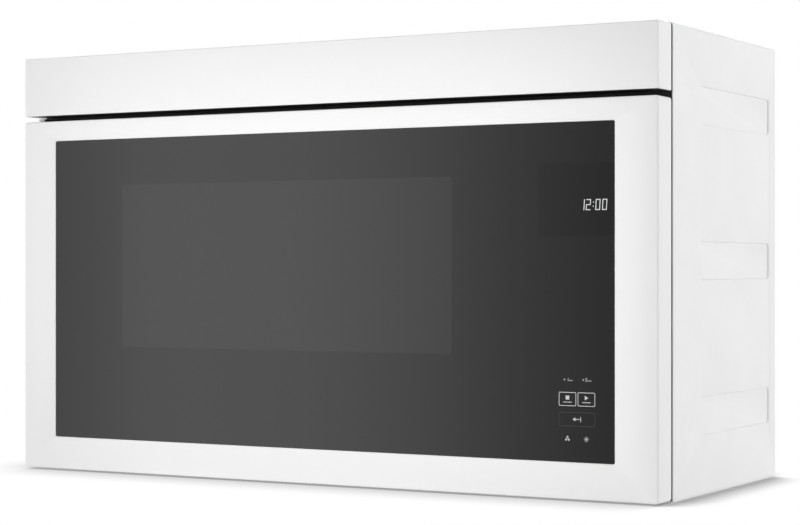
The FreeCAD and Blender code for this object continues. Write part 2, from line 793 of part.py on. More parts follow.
# ---- door ----
glass_left = -half_width + d.stile_width
glass_right = half_width - d.stile_width
glass_bottom = door_bottom + d.bottom_rail
glass_top = door_top - d.top_rail
glass_back_y = front_y + d.glass_recess + d.glass_thickness
ledge_y = glass_back_y + d.clearance
choke_y = front_y + d.choke_panel_level
choke_back_y = choke_y + d.cabinet_sheet
choke_ring_y = choke_back_y + d.choke_height
choke_cover_y = choke_ring_y + d.choke_cover_thickness
door_inner_x = half_width - d.door_wall
window_x0 = -half_width + d.window_left
window_x1 = window_x0 + d.window_width
window_z0 = door_bottom + d.window_bottom
window_z1 = window_z0 + d.window_height
display_z0 = glass_top - d.display_bottom
display_z1 = display_z0 + d.display_height
display_x0 = glass_right - d.display_width
board_right = glass_right - d.glass_ledge - d.clearance
spring_post_z = d.lower_hook_height - 46
hook_bar_bottom = d.lower_hook_height - 18
hook_bar_top = d.upper_hook_height + 12


def make_door_frame():
    body = new_body("door_frame")
    pan_y = front_y + d.door_front_wall
    inner_z0, inner_z1 = door_bottom + d.door_wall, door_top - d.door_wall
    slab(body, "XZ", door_back_y, front_y,
         (rounded, -half_width, door_bottom, half_width, door_top, d.front_corner))
    round_edges(body, d.edge_radius, lambda edge: at(edge, "y", front_y))
    slab(body, "XZ", door_back_y, pan_y,
         (rectangle, -door_inner_x, inner_z0, door_inner_x, inner_z1), cut=True)
    slab(body, "XZ", front_y, ledge_y,
         (rounded, glass_left, glass_bottom, glass_right, glass_top, d.glass_corner), cut=True)
    slab(body, "XZ", ledge_y, pan_y,
         (rectangle, glass_left + d.glass_ledge, glass_bottom + d.glass_ledge,
          glass_right - d.glass_ledge, glass_top - d.glass_ledge), cut=True)
    boss = d.bushing_radius + d.bushing_wall
    boss_reach = d.bushing_length + 3
    rib_half, rib_end = 1.5, pivot_y - d.bushing_radius - 1
    spans = ((inner_z0, notch_top + boss_reach), (inner_z1, door_top - boss_reach))
    for z0, z1 in spans:
        slab(body, "XY", z0, z1, (circle, pivot_x, pivot_y, boss))
    for z0, z1 in spans:
        slab(body, "XY", z0, z1, (rectangle, pivot_x - rib_half, pan_y, pivot_x + rib_half, rib_end))
    notch_y, notch_x = pivot_y - 8.5, pivot_x + 12
    slab(body, "XY", door_bottom, notch_top,
         (rectangle, -half_width, notch_y, notch_x, door_back_y), cut=True)
    seat = d.bushing_radius + 0.1
    seat_depth = d.bushing_length + 1
    slab(body, "XY", notch_top, notch_top + seat_depth, (circle, pivot_x, pivot_y, seat), cut=True)
    slab(body, "XY", door_top, door_top - seat_depth, (circle, pivot_x, pivot_y, seat), cut=True)


def make_hinge_bushings():
    made = []
    places = (("lower", notch_top, 1), ("upper", door_top, -1))
    for name, seat, way in places:
        stem_z = seat if way > 0 else seat - d.bushing_length
        flange_z = seat - d.bushing_flange if way > 0 else seat
        stem = rod(name + "_stem", "z", (pivot_x, pivot_y, stem_z), d.bushing_length, d.bushing_radius)
        flange = rod(name + "_flange", "z", (pivot_x, pivot_y, flange_z), d.bushing_flange,
                     d.bushing_radius + d.bushing_wall)
        bore = rod(name + "_bore", "z", (pivot_x, pivot_y, seat - 20), 40, d.pin_radius + d.running_gap)
        made.append(carve(name + "_bushing", join(name + "_solid", stem, flange), bore))
    piece("hinge_bushings", group("hinge_bushings", *made))


def make_door_glass():
    body = new_body("door_glass")
    gap = d.clearance / 2
    slab(body, "XZ", glass_back_y, front_y + d.glass_recess,
         (rounded, glass_left + gap, glass_bottom + gap, glass_right - gap, glass_top - gap, 1.4))


ring_left = cavity_left - d.choke_margin
ring_right = cavity_right + d.choke_margin
ring_bottom = d.cavity_floor - d.choke_margin
ring_top = cavity_top + d.choke_margin
hole_left, hole_right = window_x0 - d.window_margin, window_x1 + d.window_margin
hole_bottom, hole_top = window_z0 - d.window_margin, window_z1 + d.window_margin


def choke_ring(inset, radius):
    """The outline of the choke ring, drawn in by an inset."""
    return (rounded, ring_left + inset, ring_bottom + inset, ring_right - inset, ring_top - inset, radius)


def make_choke_panel():
    """The steel pan inside the door, with the hollow choke ring that stops microwaves at the gap."""
    body = new_body("choke_panel")
    gap = d.clearance
    slab(body, "XZ", choke_y, choke_back_y,
         (rectangle, -door_inner_x + gap, door_bottom + d.door_wall + gap,
          door_inner_x - gap, door_top - d.door_wall - gap))
    slab(body, "XZ", choke_back_y, choke_ring_y, choke_ring(0, 8))
    groove_out = 6.0
    groove_in = groove_out + d.choke_groove
    slab(body, "XZ", choke_ring_y, choke_back_y,
         choke_ring(groove_out, 6), choke_ring(groove_in, 4), cut=True)
    slot_half, slot_gap = 5, 1.0
    holes = [(rectangle, hole_left, hole_bottom, hole_right, hole_top)]
    for z in (d.lower_hook_height, d.upper_hook_height):
        holes.append((rectangle, hook_x - slot_half, z - d.hook_travel - slot_gap, hook_x + slot_half,
                      z + hook_rise(z) + slot_gap))
    holes.append((rectangle, -door_inner_x + gap, door_bottom, pivot_x + 14, notch_top + 2))
    slab(body, "XZ", choke_ring_y, choke_y, *holes, cut=True)
    post_half, post_height, post_reach = 4, 6, 9
    slab(body, "XZ", choke_y, choke_y - post_reach,
         (rectangle, hook_x - post_half, spring_post_z - post_height, hook_x + post_half, spring_post_z))


def make_window_pieces():
    gap = d.clearance
    seat = (hole_left + gap, hole_bottom + gap, hole_right - gap, hole_top - gap)
    corner = 3.0
    screen_y, screen_sheet = choke_ring_y - 2.4, 1.0
    pane_y = screen_y + screen_sheet + gap
    screen = new_body("window_screen")
    slab(screen, "XZ", screen_y, screen_y + screen_sheet, (rectangle, *seat))
    pane = new_body("inner_window")
    slab(pane, "XZ", pane_y, choke_cover_y - 0.5, (rounded, *seat, corner))
    cover = new_body("choke_cover")
    slab(cover, "XZ", choke_ring_y, choke_cover_y, choke_ring(1, 7),
         (rounded, hole_left, hole_bottom, hole_right, hole_top, corner))


def make_controls():
    front = glass_back_y + d.clearance
    board_back = front + d.board_thickness
    board_z0, board_z1 = glass_bottom + 22, display_z0 - 14
    board_x1 = board_right - 4
    case_back = front + 6.0
    post_y, post_x, post_inset = front + 8.4, display_x0 + 30, (12, 8)
    touch_posts = (board_z0 + post_inset[0], board_z1 - post_inset[0])
    display_posts = (display_z0 + post_inset[1], display_z1 - post_inset[1])
    margin, wall = 8, 2
    carrier = block("carrier_shell", (display_x0 - margin - wall, ledge_y + 2, board_z0 - margin),
                    (board_right - 1, choke_y - d.clearance, display_z1 + margin))
    pocket = block("carrier_pocket", (display_x0 - margin, ledge_y, board_z0 - margin + wall),
                   (board_right - 1 - wall, choke_y - 4, display_z1 + margin - wall))
    posts = [rod(f"carrier_post_{n}", "y", (post_x, post_y, z), choke_y - 3 - post_y, 4)
             for n, z in enumerate(touch_posts + display_posts)]
    piece("control_carrier", join("control_carrier", carve("carrier_body", carrier, pocket), *posts))
    stem_radius = 3
    board = block("touch_board_sheet", (display_x0, front, board_z0), (board_x1, board_back, board_z1))
    chip = block("touch_chip", (display_x0 + 18, board_back, board_z0 + 60),
                 (display_x0 + 32, board_back + 1.8, board_z0 + 74))
    socket = block("touch_socket", (display_x0 + 40, board_back, board_z1 - 20),
                   (display_x0 + 60, board_back + 4.4, board_z1 - 12))
    stems = [rod(f"touch_stem_{n}", "y", (post_x, board_back, z), post_y - board_back, stem_radius)
             for n, z in enumerate(touch_posts)]
    piece("touch_board", join("touch_board", board, chip, socket, *stems))
    case = block("display_case", (display_x0, front, display_z0), (board_x1, case_back, display_z1))
    stems = [rod(f"display_stem_{n}", "y", (post_x, case_back, z), post_y - case_back, stem_radius)
             for n, z in enumerate(display_posts)]
    piece("display_module", join("display_module", case, *stems))


def make_latch_hooks():
    """One moulded bar with two hooks. It stands here as lifted by the release, so the door is free."""
    half = d.hook_thickness / 2
    bar_half, bar_depth = 4, 11
    barb_y, barb_depth, barb_drop = plate_back_y + d.keeper_depth + 0.5, 5.5, 3.4
    parts = [block("hook_bar", (hook_x - bar_half, choke_y - bar_depth, hook_bar_bottom),
                   (hook_x + bar_half, choke_y - d.clearance, hook_bar_top))]
    for name, z in (("lower", d.lower_hook_height), ("upper", d.upper_hook_height)):
        parts.append(block(name + "_shank", (hook_x - half, choke_y - 2, z),
                           (hook_x + half, hook_tip_y, z + d.hook_height)))
        parts.append(block(name + "_barb", (hook_x - half, barb_y, z - barb_drop),
                           (hook_x + half, barb_y + barb_depth, z)))
    upper = d.upper_hook_height
    parts.append(block("upper_tail", (hook_x - half, hook_tip_y - 4, upper + d.hook_height - 1),
                       (hook_x + half, hook_tip_y, upper + hook_rise(upper))))
    piece("latch_hooks", join("latch_hooks", *parts))


def make_latch_spring():
    """A tension spring that pulls the hook bar down, drawn as an open helix."""
    wire, coil, pitch = 0.5, 2.8, 3.0
    low = spring_post_z.value + 0.8
    high = hook_bar_bottom.value - 0.8
    helix = Part.makeHelix(pitch, high - low, coil)
    start = FreeCAD.Vector(coil, 0, 0)
    profile = Part.Wire(Part.makeCircle(wire, start, FreeCAD.Vector(0, 1, 0)))
    spring = doc.addObject("Part::Feature", "latch_spring")
    spring.Shape = Part.Wire(helix).makePipeShell([profile], True, True)
    spring.Placement.Base = FreeCAD.Vector(hook_x.value, choke_y.value - 5.5, low)
    piece("latch_spring", spring)


# ---- hinge brackets ----
def make_hinge_bracket(label, arm_z, pin_z0, pin_z1):
    """A stamped arm with a pin, through the front plate, and a flange screwed behind the plate."""
    half = d.bracket_half_width
    flange_half, flange_height = 7, 38
    top = arm_z + d.bracket_thickness
    back_y = plate_back_y + d.bracket_thickness
    x0, x1 = hinge_flange_x - flange_half, hinge_flange_x + flange_half
    arm = block(label + "_arm", (pivot_x - half, pivot_y, arm_z), (pivot_x + half, back_y, top))
    tip = rod(label + "_tip", "z", (pivot_x, pivot_y, arm_z), d.bracket_thickness, half)
    foot = block(label + "_foot", (pivot_x - half, plate_back_y, arm_z), (x1, back_y, top))
    flange = block(label + "_flange", (x0, plate_back_y, arm_z), (x1, back_y, arm_z + flange_height))
    pin = rod(label + "_pin", "z", (pivot_x, pivot_y, pin_z0), pin_z1 - pin_z0, d.pin_radius)
    holes = [rod(f"{label}_hole_{n}", "y", (hinge_flange_x, plate_back_y - 1, arm_z + rise), 6, bore_radius)
             for n, rise in enumerate(hinge_screw_rises)]
    return carve(label, join(label + "_solid", arm, tip, foot, flange, pin), *holes)


# ---- latch and release, behind the front plate ----
board_x0, board_x1 = hook_x - 12, hook_x + 18
latch_wall = 2.0
switch_depth = 16.0
switches = {"primary": d.lower_hook_height, "secondary": d.upper_hook_height,
            "monitor": d.upper_hook_height + d.hook_height + 1}


def make_latch_board():
    y0, y1 = plate_back_y, hook_tip_y + 24
    z0, z1 = d.lower_hook_height - 34, d.upper_hook_height + 40
    keeper_y = y0 + d.keeper_depth
    room_x0, room_x1 = board_x0 + latch_wall, board_x1 - latch_wall
    shell = block("latch_shell", (board_x0, y0, z0), (board_x1, y1, z1))
    cuts = [block("latch_room", (room_x0, keeper_y, z0 - 1), (room_x1, y1 + 1, z1 - latch_wall))]
    for name, z in (("lower", d.lower_hook_height), ("upper", d.upper_hook_height)):
        cuts.append(block(name + "_window", (hook_x - 5.5, y0 - 1, z - d.hook_travel - 0.4),
                          (hook_x + 7, keeper_y + 1, z + hook_rise(z) + 1.5)))
    guide_z0, guide_height = z0 + 2, 10
    guide = block("lifter_guide", (room_x0, keeper_y, guide_z0),
                  (room_x1, hook_tip_y + 2, guide_z0 + guide_height))
    way = block("lifter_way", (hook_x - 2.8, hook_tip_y - 4.8, guide_z0 - 1),
                (hook_x + 2.8, hook_tip_y - 0.2, guide_z0 + guide_height + 1))
    frame = join("latch_frame", carve("latch_hollow", shell, *cuts), guide)
    piece("latch_board", carve("latch_board", frame, way))


def make_switches():
    made = []
    stem_y, stem_length, way_depth, inset = hook_tip_y + d.clearance, 9.5, 10, 0.2
    face_y = stem_y + 3.7
    for name, z in switches.items():
        middle = z + d.hook_height / 2
        body = block(name + "_case", (board_x0 + latch_wall, face_y, z + inset),
                     (board_x1 - latch_wall, face_y + switch_depth, z + d.hook_height - inset))
        way = rod(name + "_way", "y", (hook_x, face_y - 1, middle), way_depth + 1,
                  d.plunger_radius + d.running_gap)
        made.append(carve(name + "_switch", body, way))
        stem = rod(name + "_stem", "y", (hook_x, stem_y, middle), stem_length, d.plunger_radius)
        piece(name + "_switch_plunger", stem)
    piece("interlock_switches", group("interlock_switches", *made))


def make_release():
    x, y, half = hook_x, hook_tip_y - 2.5, d.solenoid_width / 2
    stem_radius, case_floor = 4, 4
    case_top = plenum_top + d.solenoid_height
    frame = block("solenoid_case", (x - half, y - half, plenum_top), (x + half, y + half, case_top))
    bore = rod("solenoid_bore", "z", (x, y, plenum_top + case_floor), d.solenoid_height,
               stem_radius + d.running_gap)
    piece("release_solenoid", carve("release_solenoid", frame, bore))
    stem_z = plenum_top + case_floor + d.hook_travel + 1
    neck_z = case_top + d.hook_travel + 0.8
    blade_half_x, blade_half_y = 2.5, 2
    stem = rod("release_stem", "z", (x, y, stem_z), neck_z - stem_z, stem_radius)
    blade = block("release_blade", (x - blade_half_x, y - blade_half_y, neck_z - 1),
                  (x + blade_half_x, y + blade_half_y, d.lower_hook_height - d.clearance))
    piece("release_plunger", join("release_plunger", stem, blade))


# ---- oven ----
def make_oven_cavity():
    body = new_body("cavity_shell", is_piece=False)
    wall = d.cavity_sheet
    slab(body, "XZ", plate_back_y, cavity_back_y + wall,
         (rounded, cavity_left - wall, d.cavity_floor - wall, cavity_right + wall, cavity_top + wall,
          d.cavity_radius + wall))
    slab(body, "XY", d.cavity_floor, waveguide_top, (circle, stirrer_x, stirrer_y, d.well_radius + wall))
    slab(body, "XZ", plate_back_y, cavity_back_y,
         (rounded, cavity_left, d.cavity_floor, cavity_right, cavity_top, d.cavity_radius), cut=True)
    slab(body, "XY", d.cavity_floor + 1, well_floor, (circle, stirrer_x, stirrer_y, d.well_radius), cut=True)
    slab(body, "XY", well_floor, waveguide_top, (circle, stirrer_x, stirrer_y, d.port_radius), cut=True)
    pitch, hole = 6.0, 2.0
    # each field of holes: its wall, its first hole from the back, columns, lines, drop from the top
    back = cavity_back_y
    fields = [(cavity_right, back - 84, 12, 8, 28), (cavity_right, back - 240, 6, 6, 74),
              (cavity_left - wall, back - 124, 12, 5, 30)]
    drills = []
    for wall_x, start_y, columns, lines, drop in fields:
        for column in range(columns):
            for line in range(lines):
                corner = FreeCAD.Vector(wall_x.value - 0.5, start_y.value + column * pitch,
                                        cavity_top.value - drop - line * pitch)
                drills.append(Part.makeCylinder(hole, wall.value + 1, corner, FreeCAD.Vector(1, 0, 0)))
    tool = doc.addObject("Part::Feature", "cavity_drills")
    tool.Shape = Part.makeCompound(drills)
    piece("oven_cavity", carve("oven_cavity_drilled", body, tool))


def make_cavity_floor_plate():
    body = new_body("ceramic_floor")
    gap = 1.0
    slab(body, "XY", d.cavity_floor, d.cavity_floor + d.ceramic_thickness,
         (rounded, cavity_left + d.cavity_radius, plate_back_y + 4, cavity_right - d.cavity_radius,
          cavity_back_y - gap, 6))


def make_waveguide():
    x0, x1 = stirrer_x - 50, magnetron_x + d.magnetron_width / 2 + 4
    y0, y1 = stirrer_y - d.waveguide_width / 2, stirrer_y + d.waveguide_width / 2
    wall = d.waveguide_wall
    outer = block("guide_outer", (x0, y0, plenum_top), (x1, y1, waveguide_top))
    inner = block("guide_inner", (x0 + wall, y0 + wall, plenum_top + wall),
                  (x1 - wall, y1 - wall, waveguide_top - wall))
    through = waveguide_top - 5
    port = rod("guide_port", "z", (stirrer_x, stirrer_y, through), 6, d.port_radius)
    shaft = rod("guide_shaft_hole", "z", (stirrer_x, stirrer_y, plenum_top - 1), 5,
                d.stirrer_shaft_radius + 1)
    feed = rod("guide_feed", "z", (magnetron_x, stirrer_y, through), 6, d.feed_radius)
    piece("waveguide", carve("waveguide", outer, inner, port, shaft, feed))


def make_stirrer():
    motor_top = plenum_top - d.plenum_sheet
    case_height, case_radius, ear_half, ear_width = 18, 24, 32, 6
    case = rod("stirrer_motor_case", "z", (stirrer_x, stirrer_y, motor_top - case_height), case_height,
               case_radius)
    ear = block("stirrer_motor_ear", (stirrer_x - ear_half, stirrer_y - ear_width, motor_top - 1.5),
                (stirrer_x + ear_half, stirrer_y + ear_width, motor_top))
    bore = rod("stirrer_motor_bore", "z", (stirrer_x, stirrer_y, motor_top - 12), 14,
               d.stirrer_shaft_radius + d.running_gap)
    piece("stirrer_motor", carve("stirrer_motor", join("stirrer_motor_solid", case, ear), bore))
    body = new_body("stirrer_blade")
    z0 = well_floor + 5
    blade_sheet = 1.2
    vane = [(5, -6), (d.stirrer_radius, -24), (d.stirrer_radius, 18), (5, 6)]
    slab(body, "XY", z0 - 3, z0 + 3, (circle, 0, 0, 8))
    slab(body, "XY", z0, z0 + blade_sheet, (polygon, vane))
    repeat_around(body, "Z_Axis", 3)
    slab(body, "XY", motor_top - 11.5, z0 + 4, (circle, 0, 0, d.stirrer_shaft_radius))
    body.setExpression("Placement.Base.x", stirrer_x.text)
    body.setExpression("Placement.Base.y", stirrer_y.text)


# ---- microwave power ----
def make_magnetron():
    x, y, z = magnetron_x, stirrer_y, waveguide_top
    half_x, half_y = d.magnetron_width / 2, d.waveguide_width / 2
    parts = [block("magnetron_flange", (x - half_x, y - half_y, z), (x + half_x, y + half_y, z + 2)),
             rod("magnetron_core", "z", (x, y, z), 64, 20),
             rod("magnetron_antenna", "z", (x, y, z - 18), 20, 8)]
    fin_x, fin_y, fin_pitch, fin_sheet = 34, 32, 5, 0.8
    for number in range(8):
        level = z + 16 + number * fin_pitch
        parts.append(block(f"magnetron_fin_{number}", (x - fin_x, y - fin_y, level),
                           (x + fin_x, y + fin_y, level + fin_sheet)))
    magnet_height, magnet_radius = 10, 28
    for number, level in enumerate((z + 2, z + 56)):
        parts.append(rod(f"magnetron_magnet_{number}", "z", (x, y, level), magnet_height, magnet_radius))
    yoke_half, yoke_top, yoke_sheet = 36, z + 68, 2
    for number, (x0, x1) in enumerate(((-yoke_half, -yoke_half + yoke_sheet),
                                       (yoke_half - yoke_sheet, yoke_half))):
        parts.append(block(f"magnetron_yoke_{number}", (x + x0, y - yoke_half, z + 1),
                           (x + x1, y + yoke_half, yoke_top)))
    parts.append(block("magnetron_yoke_top", (x - yoke_half, y - yoke_half, yoke_top - yoke_sheet),
                       (x + yoke_half, y + yoke_half, yoke_top)))
    box_x, box_y, box_height, plug_x = 30, 26, 28, 14
    parts.append(block("filter_box_case", (x - box_x, y - box_y, yoke_top),
                       (x + box_x, y + box_y, yoke_top + box_height)))
    parts.append(block("filter_box_plug", (x - plug_x, y - box_y - 8, yoke_top + 8),
                       (x + plug_x, y - box_y, yoke_top + 20)))
    piece("magnetron", join("magnetron", *parts))


def make_transformer():
    x, y = magnetron_x + 8, rear_panel_front_y - d.transformer_rear_gap - d.transformer_depth / 2
    half_x, half_y = d.transformer_width / 2, d.transformer_depth / 2
    z0, z1 = plenum_top, plenum_top + d.transformer_height
    limb, yoke = 16.0, 12.0
    window_z0, window_z1 = z0 + yoke, z1 - yoke
    core = block("core_block", (x - half_x, y - half_y, z0), (x + half_x, y + half_y, z1))
    eyes = [block(f"core_eye_{n}", (x + a, y - half_y - 1, window_z0), (x + b, y + half_y + 1, window_z1))
            for n, (a, b) in enumerate(((-half_x + limb, -limb), (limb, half_x - limb)))]
    piece("transformer_core", carve("transformer_core", core, *eyes))
    coils = []
    middle = (window_z0 + window_z1) / 2
    gap, split, coil_build = d.clearance, 2, 11
    reach_x, reach_y = half_x - limb - gap, half_y + coil_build
    inner_half_x, inner_half_y = limb + gap, half_y + gap
    levels = ((window_z0 + gap, middle - split), (middle + split, window_z1 - gap))
    for number, (low, high) in enumerate(levels):
        outer = block(f"coil_outer_{number}", (x - reach_x, y - reach_y, low),
                      (x + reach_x, y + reach_y, high))
        outer = soften(f"coil_round_{number}", outer, as_size(9), "z")
        inner = block(f"coil_inner_{number}", (x - inner_half_x, y - inner_half_y, low - 1),
                      (x + inner_half_x, y + inner_half_y, high + 1))
        coils.append(carve(f"coil_{number}", outer, inner))
    piece("transformer_windings", group("transformer_windings", *coils))


def make_capacitor():
    x0, y0 = cavity_outer_right + 9, plate_back_y + 13
    x1, y1 = x0 + d.capacitor_width, y0 + d.capacitor_depth
    z0, z1 = plenum_top, plenum_top + d.capacitor_height
    can_corner = as_size(14)
    can = soften("capacitor_can", block("capacitor_block", (x0, y0, z0), (x1, y1, z1)), can_corner, "z")
    tab_width, tab_height = 6, 9
    tabs = [block(f"capacitor_tab_{n}", (x0 + n, y0 + 14, z1 - 1),
                  (x0 + n + tab_width, y0 + 15, z1 + tab_height)) for n in (14, 32)]
    piece("capacitor", join("capacitor", can, *tabs))
    strap, slack, strap_z0, strap_z1 = 2, 0.1, z0 + 30, z0 + 44
    outer = block("clamp_block", (x0 - strap, y0 - strap, strap_z0), (x1 + strap, y1 + strap, strap_z1))
    inner = block("clamp_inside", (x0 - slack, y0 - slack, strap_z0 - 1),
                  (x1 + slack, y1 + slack, strap_z1 + 1))
    ring = carve("clamp_ring", soften("clamp_round", outer, can_corner + strap, "z"),
                 soften("clamp_bore", inner, can_corner, "z"))
    leg_x0, leg_x1, leg_y = x1 - 28, x1 - 12, y1 + 0.8
    leg = block("clamp_leg", (leg_x0, leg_y, z0), (leg_x1, y1 + strap, strap_z1))
    foot = block("clamp_foot", (leg_x0, leg_y, z0), (leg_x1, y1 + 16, z0 + 1.2))
    piece("capacitor_clamp", join("capacitor_clamp", ring, leg, foot))
    diode_radius, diode_length, lug_y0, lug_y1, lug_x1 = 4, 22, y0 + 3, y0 + 13, x1 + 38
    case = rod("diode_case", "x", (x1 + 6, y0 + 8, z0 + diode_radius), diode_length, diode_radius)
    lug = block("diode_lug", (x1 + 27, lug_y0, z0 + 3), (lug_x1, lug_y1, z0 + 4))
    lug_foot = block("diode_foot", (x1 + 33, lug_y0, z0), (lug_x1, lug_y1, z0 + 4))
    piece("high_voltage_diode", join("high_voltage_diode", case, lug, lug_foot))


def make_cooling_fan():
    x, z = magnetron_x + 26, d.fan_height
    shroud_y = rear_panel_front_y - d.fan_post_length
    sheet, half, post_radius = 2, d.fan_radius + 12, 4
    corners = ((-1, -1), (1, -1), (-1, 1), (1, 1))
    plate = block("shroud_plate", (x - half, shroud_y, z - half), (x + half, shroud_y + sheet, z + half))
    collar = rod("shroud_collar", "y", (x, shroud_y - 8, z), 8 + sheet, d.fan_radius + 5)
    hole = rod("shroud_hole", "y", (x, shroud_y - 10, z), 14, d.fan_radius + 3)
    posts = [rod(f"shroud_post_{n}", "y", (x + a * (half - 6), shroud_y, z + b * (half - 6)),
                 d.fan_post_length, post_radius) for n, (a, b) in enumerate(corners)]
    ring = carve("shroud_ring", join("shroud_solid", plate, collar), hole)
    piece("fan_shroud", join("fan_shroud", ring, *posts))
    motor_y, motor_length, motor_radius = shroud_y + 16, 22, 20
    arm_y0, arm_y1, arm_half = motor_y + 10, motor_y + 12, 5
    case = rod("fan_motor_case", "y", (x, motor_y, z), motor_length, motor_radius)
    arm = block("fan_motor_arm", (x - half + 1, arm_y0, z - arm_half), (x + half - 1, arm_y1, z + arm_half))
    legs = [block(f"fan_motor_leg_{n}", (x + s * (half - 3) - 2, shroud_y + sheet, z - arm_half),
                  (x + s * (half - 3) + 2, arm_y1, z + arm_half)) for n, s in enumerate((-1, 1))]
    bore = rod("fan_motor_bore", "y", (x, motor_y - 1, z), 15, d.fan_shaft_radius + d.running_gap)
    piece("fan_motor", carve("fan_motor", join("fan_motor_solid", case, arm, *legs), bore))
    body = new_body("fan_blade")
    start, hub_length, hub_radius = shroud_y - 10, 18, 13
    tip = d.fan_radius - 5
    slab(body, "XZ", start, start + hub_length, (circle, 0, 0, hub_radius))
    slab(body, "XZ", start + 7, start + 9, (polygon, [(8, -7), (tip, -20), (tip, 16), (8, 7)]))
    repeat_around(body, "Y_Axis", 5)
    slab(body, "XZ", start, motor_y + 13, (circle, 0, 0, d.fan_shaft_radius))
    body.setExpression("Placement.Base.x", x.text)
    body.setExpression("Placement.Base.z", z.text)


def board_corners(a0, a1, b0, b1, inset):
    return [(a, b) for b in (b0 + inset, b1 - inset) for a in (a0 + inset, a1 - inset)]


def make_boards():
    x1 = inner_x
    face = x1 - 15
    back = face - d.board_thickness
    y0, y1, z0, z1 = -52, 66, 256, 358
    inset = 6
    board = block("power_sheet", (back, y0, z0), (face, y1, z1))
    feet = [rod(f"power_foot_{n}", "x", (face, y, z), x1 - face, d.standoff_radius)
            for n, (y, z) in enumerate(board_corners(y0, y1, z0, z1, inset))]
    relays = [block(f"power_relay_{n}", (face - 20, y, z0 + 12), (back, y + 15, z0 + 40))
              for n, y in enumerate((-40, -20, 0))]
    supply = block("power_supply", (face - 26, 22, z0 + 50), (back, 56, z1 - 14))
    socket = block("power_socket", (face - 12, -44, z1 - 24), (back, 0, z1 - 14))
    piece("power_board", join("power_board", board, *feet, *relays, supply, socket))
    y1 = rear_panel_front_y
    face = y1 - 14
    back = face - d.board_thickness
    x1, z1 = inner_x - 33.1, wall_top - 75.9
    x0, z0 = x1 - 110, z1 - 80
    board = block("noise_sheet", (x0, back, z0), (x1, face, z1))
    feet = [rod(f"noise_foot_{n}", "y", (x, face, z), y1 - face, d.standoff_radius)
            for n, (x, z) in enumerate(board_corners(x0, x1, z0, z1, inset))]
    choke = rod("noise_choke", "y", (x0 + 37, face - 24, z0 + 40), 23, 16)
    fuse = block("noise_fuse", (x0 + 65, face - 12, z0 + 18), (x1 - 11, back, z0 + 28))
    cap = block("noise_cap", (x0 + 69, face - 20, z0 + 40), (x1 - 11, back, z1 - 14))
    piece("noise_filter_board", join("noise_filter_board", board, *feet, choke, fuse, cap))


def make_sensors():
    x, y, z = cavity_outer_right, plate_back_y + 45, cavity_top - 88
    wall, half_z, front, back, reach = 4, 20, 22, 26, 24
    holder = block("lamp_holder", (x, y - front, z - half_z), (x + reach, y + back, z + half_z))
    room = block("lamp_room", (x - 1, y - front + wall, z - half_z + wall),
                 (x + reach - wall, y + back - wall, z + half_z - wall))
    bulb = rod("lamp_bulb", "x", (x + 8, y + 2, z), 13, 8)
    piece("cavity_lamp", join("cavity_lamp", carve("lamp_case", holder, room), bulb))
    cutouts = []
    disc_height, disc_radius, tab_reach, tab_half, tab_sheet = 8, 9, 16, 3, 1
    y, z = plate_back_y + 65, cavity_outer_top
    for number, x in enumerate((-220, 150)):
        disc = rod(f"cutout_disc_{number}", "z", (x, y, z), disc_height, disc_radius)
        tabs = block(f"cutout_tabs_{number}", (x - tab_reach, y - tab_half, z),
                     (x + tab_reach, y + tab_half, z + tab_sheet))
        cutouts.append(join(f"cutout_{number}", disc, tabs))
    piece("thermal_cutouts", group("thermal_cutouts", *cutouts))


# ---- hood ----
def make_grease_filters():
    z0 = as_size(0.4)
    outer_corner, inner_corner = 2, 3
    for name, side in (("left", -1), ("right", 1)):
        x0, y0, x1, y1 = filter_box(side, 0)
        rim = d.filter_frame
        frame = new_body(f"grease_filter_{name}")
        slab(frame, "XY", z0, z0 + d.filter_height, (rounded, x0, y0, x1, y1, outer_corner))
        slab(frame, "XY", z0, z0 + d.filter_height,
             (rounded, x0 + rim, y0 + rim, x1 - rim, y1 - rim, inner_corner), cut=True)
        gap = d.clearance
        lip = 1.0
        mesh_z = z0 + lip + gap
        slab(frame, "XY", z0 + lip, mesh_z + d.mesh_thickness + gap,
             (rectangle, x0 + lip, y0 + lip, x1 - lip, y1 - lip), cut=True)
        mesh = new_body(f"filter_mesh_{name}")
        inset = lip + gap
        slab(mesh, "XY", mesh_z, mesh_z + d.mesh_thickness,
             (rectangle, x0 + inset, y0 + inset, x1 - inset, y1 - inset))


def make_cooktop_lamps():
    lamps = []
    lenses = []
    z = as_size(0.3)
    base = z + d.lens_thickness
    wall_x, wall_y, rim, case_height, room_height = 4, 3, 2, 12, 8
    for number, side in enumerate((-1, 1)):
        x0, y0, x1, y1 = lens_box(side, 0)
        sheet = block(f"lens_{number}", (x0, y0, z), (x1, y1, base))
        lenses.append(soften(f"lens_round_{number}", sheet, d.corner_radius, "z"))
        case = block(f"lamp_case_{number}", (x0 - wall_x, y0 - wall_y, base),
                     (x1 + wall_x, y1 + wall_y, base + case_height))
        room = block(f"lamp_hollow_{number}", (x0 + rim, y0 + rim, base - 1),
                     (x1 - rim, y1 - rim, base + room_height))
        chip = block(f"lamp_chip_{number}", (x0 + 22, y0 + 8, base + room_height - 1),
                     (x1 - 22, y1 - 8, base + room_height + 1))
        lamps.append(join(f"lamp_{number}", carve(f"lamp_shell_{number}", case, room), chip))
    piece("cooktop_lamps", group("cooktop_lamps", *lamps))
    piece("cooktop_lenses", group("cooktop_lenses", *lenses))


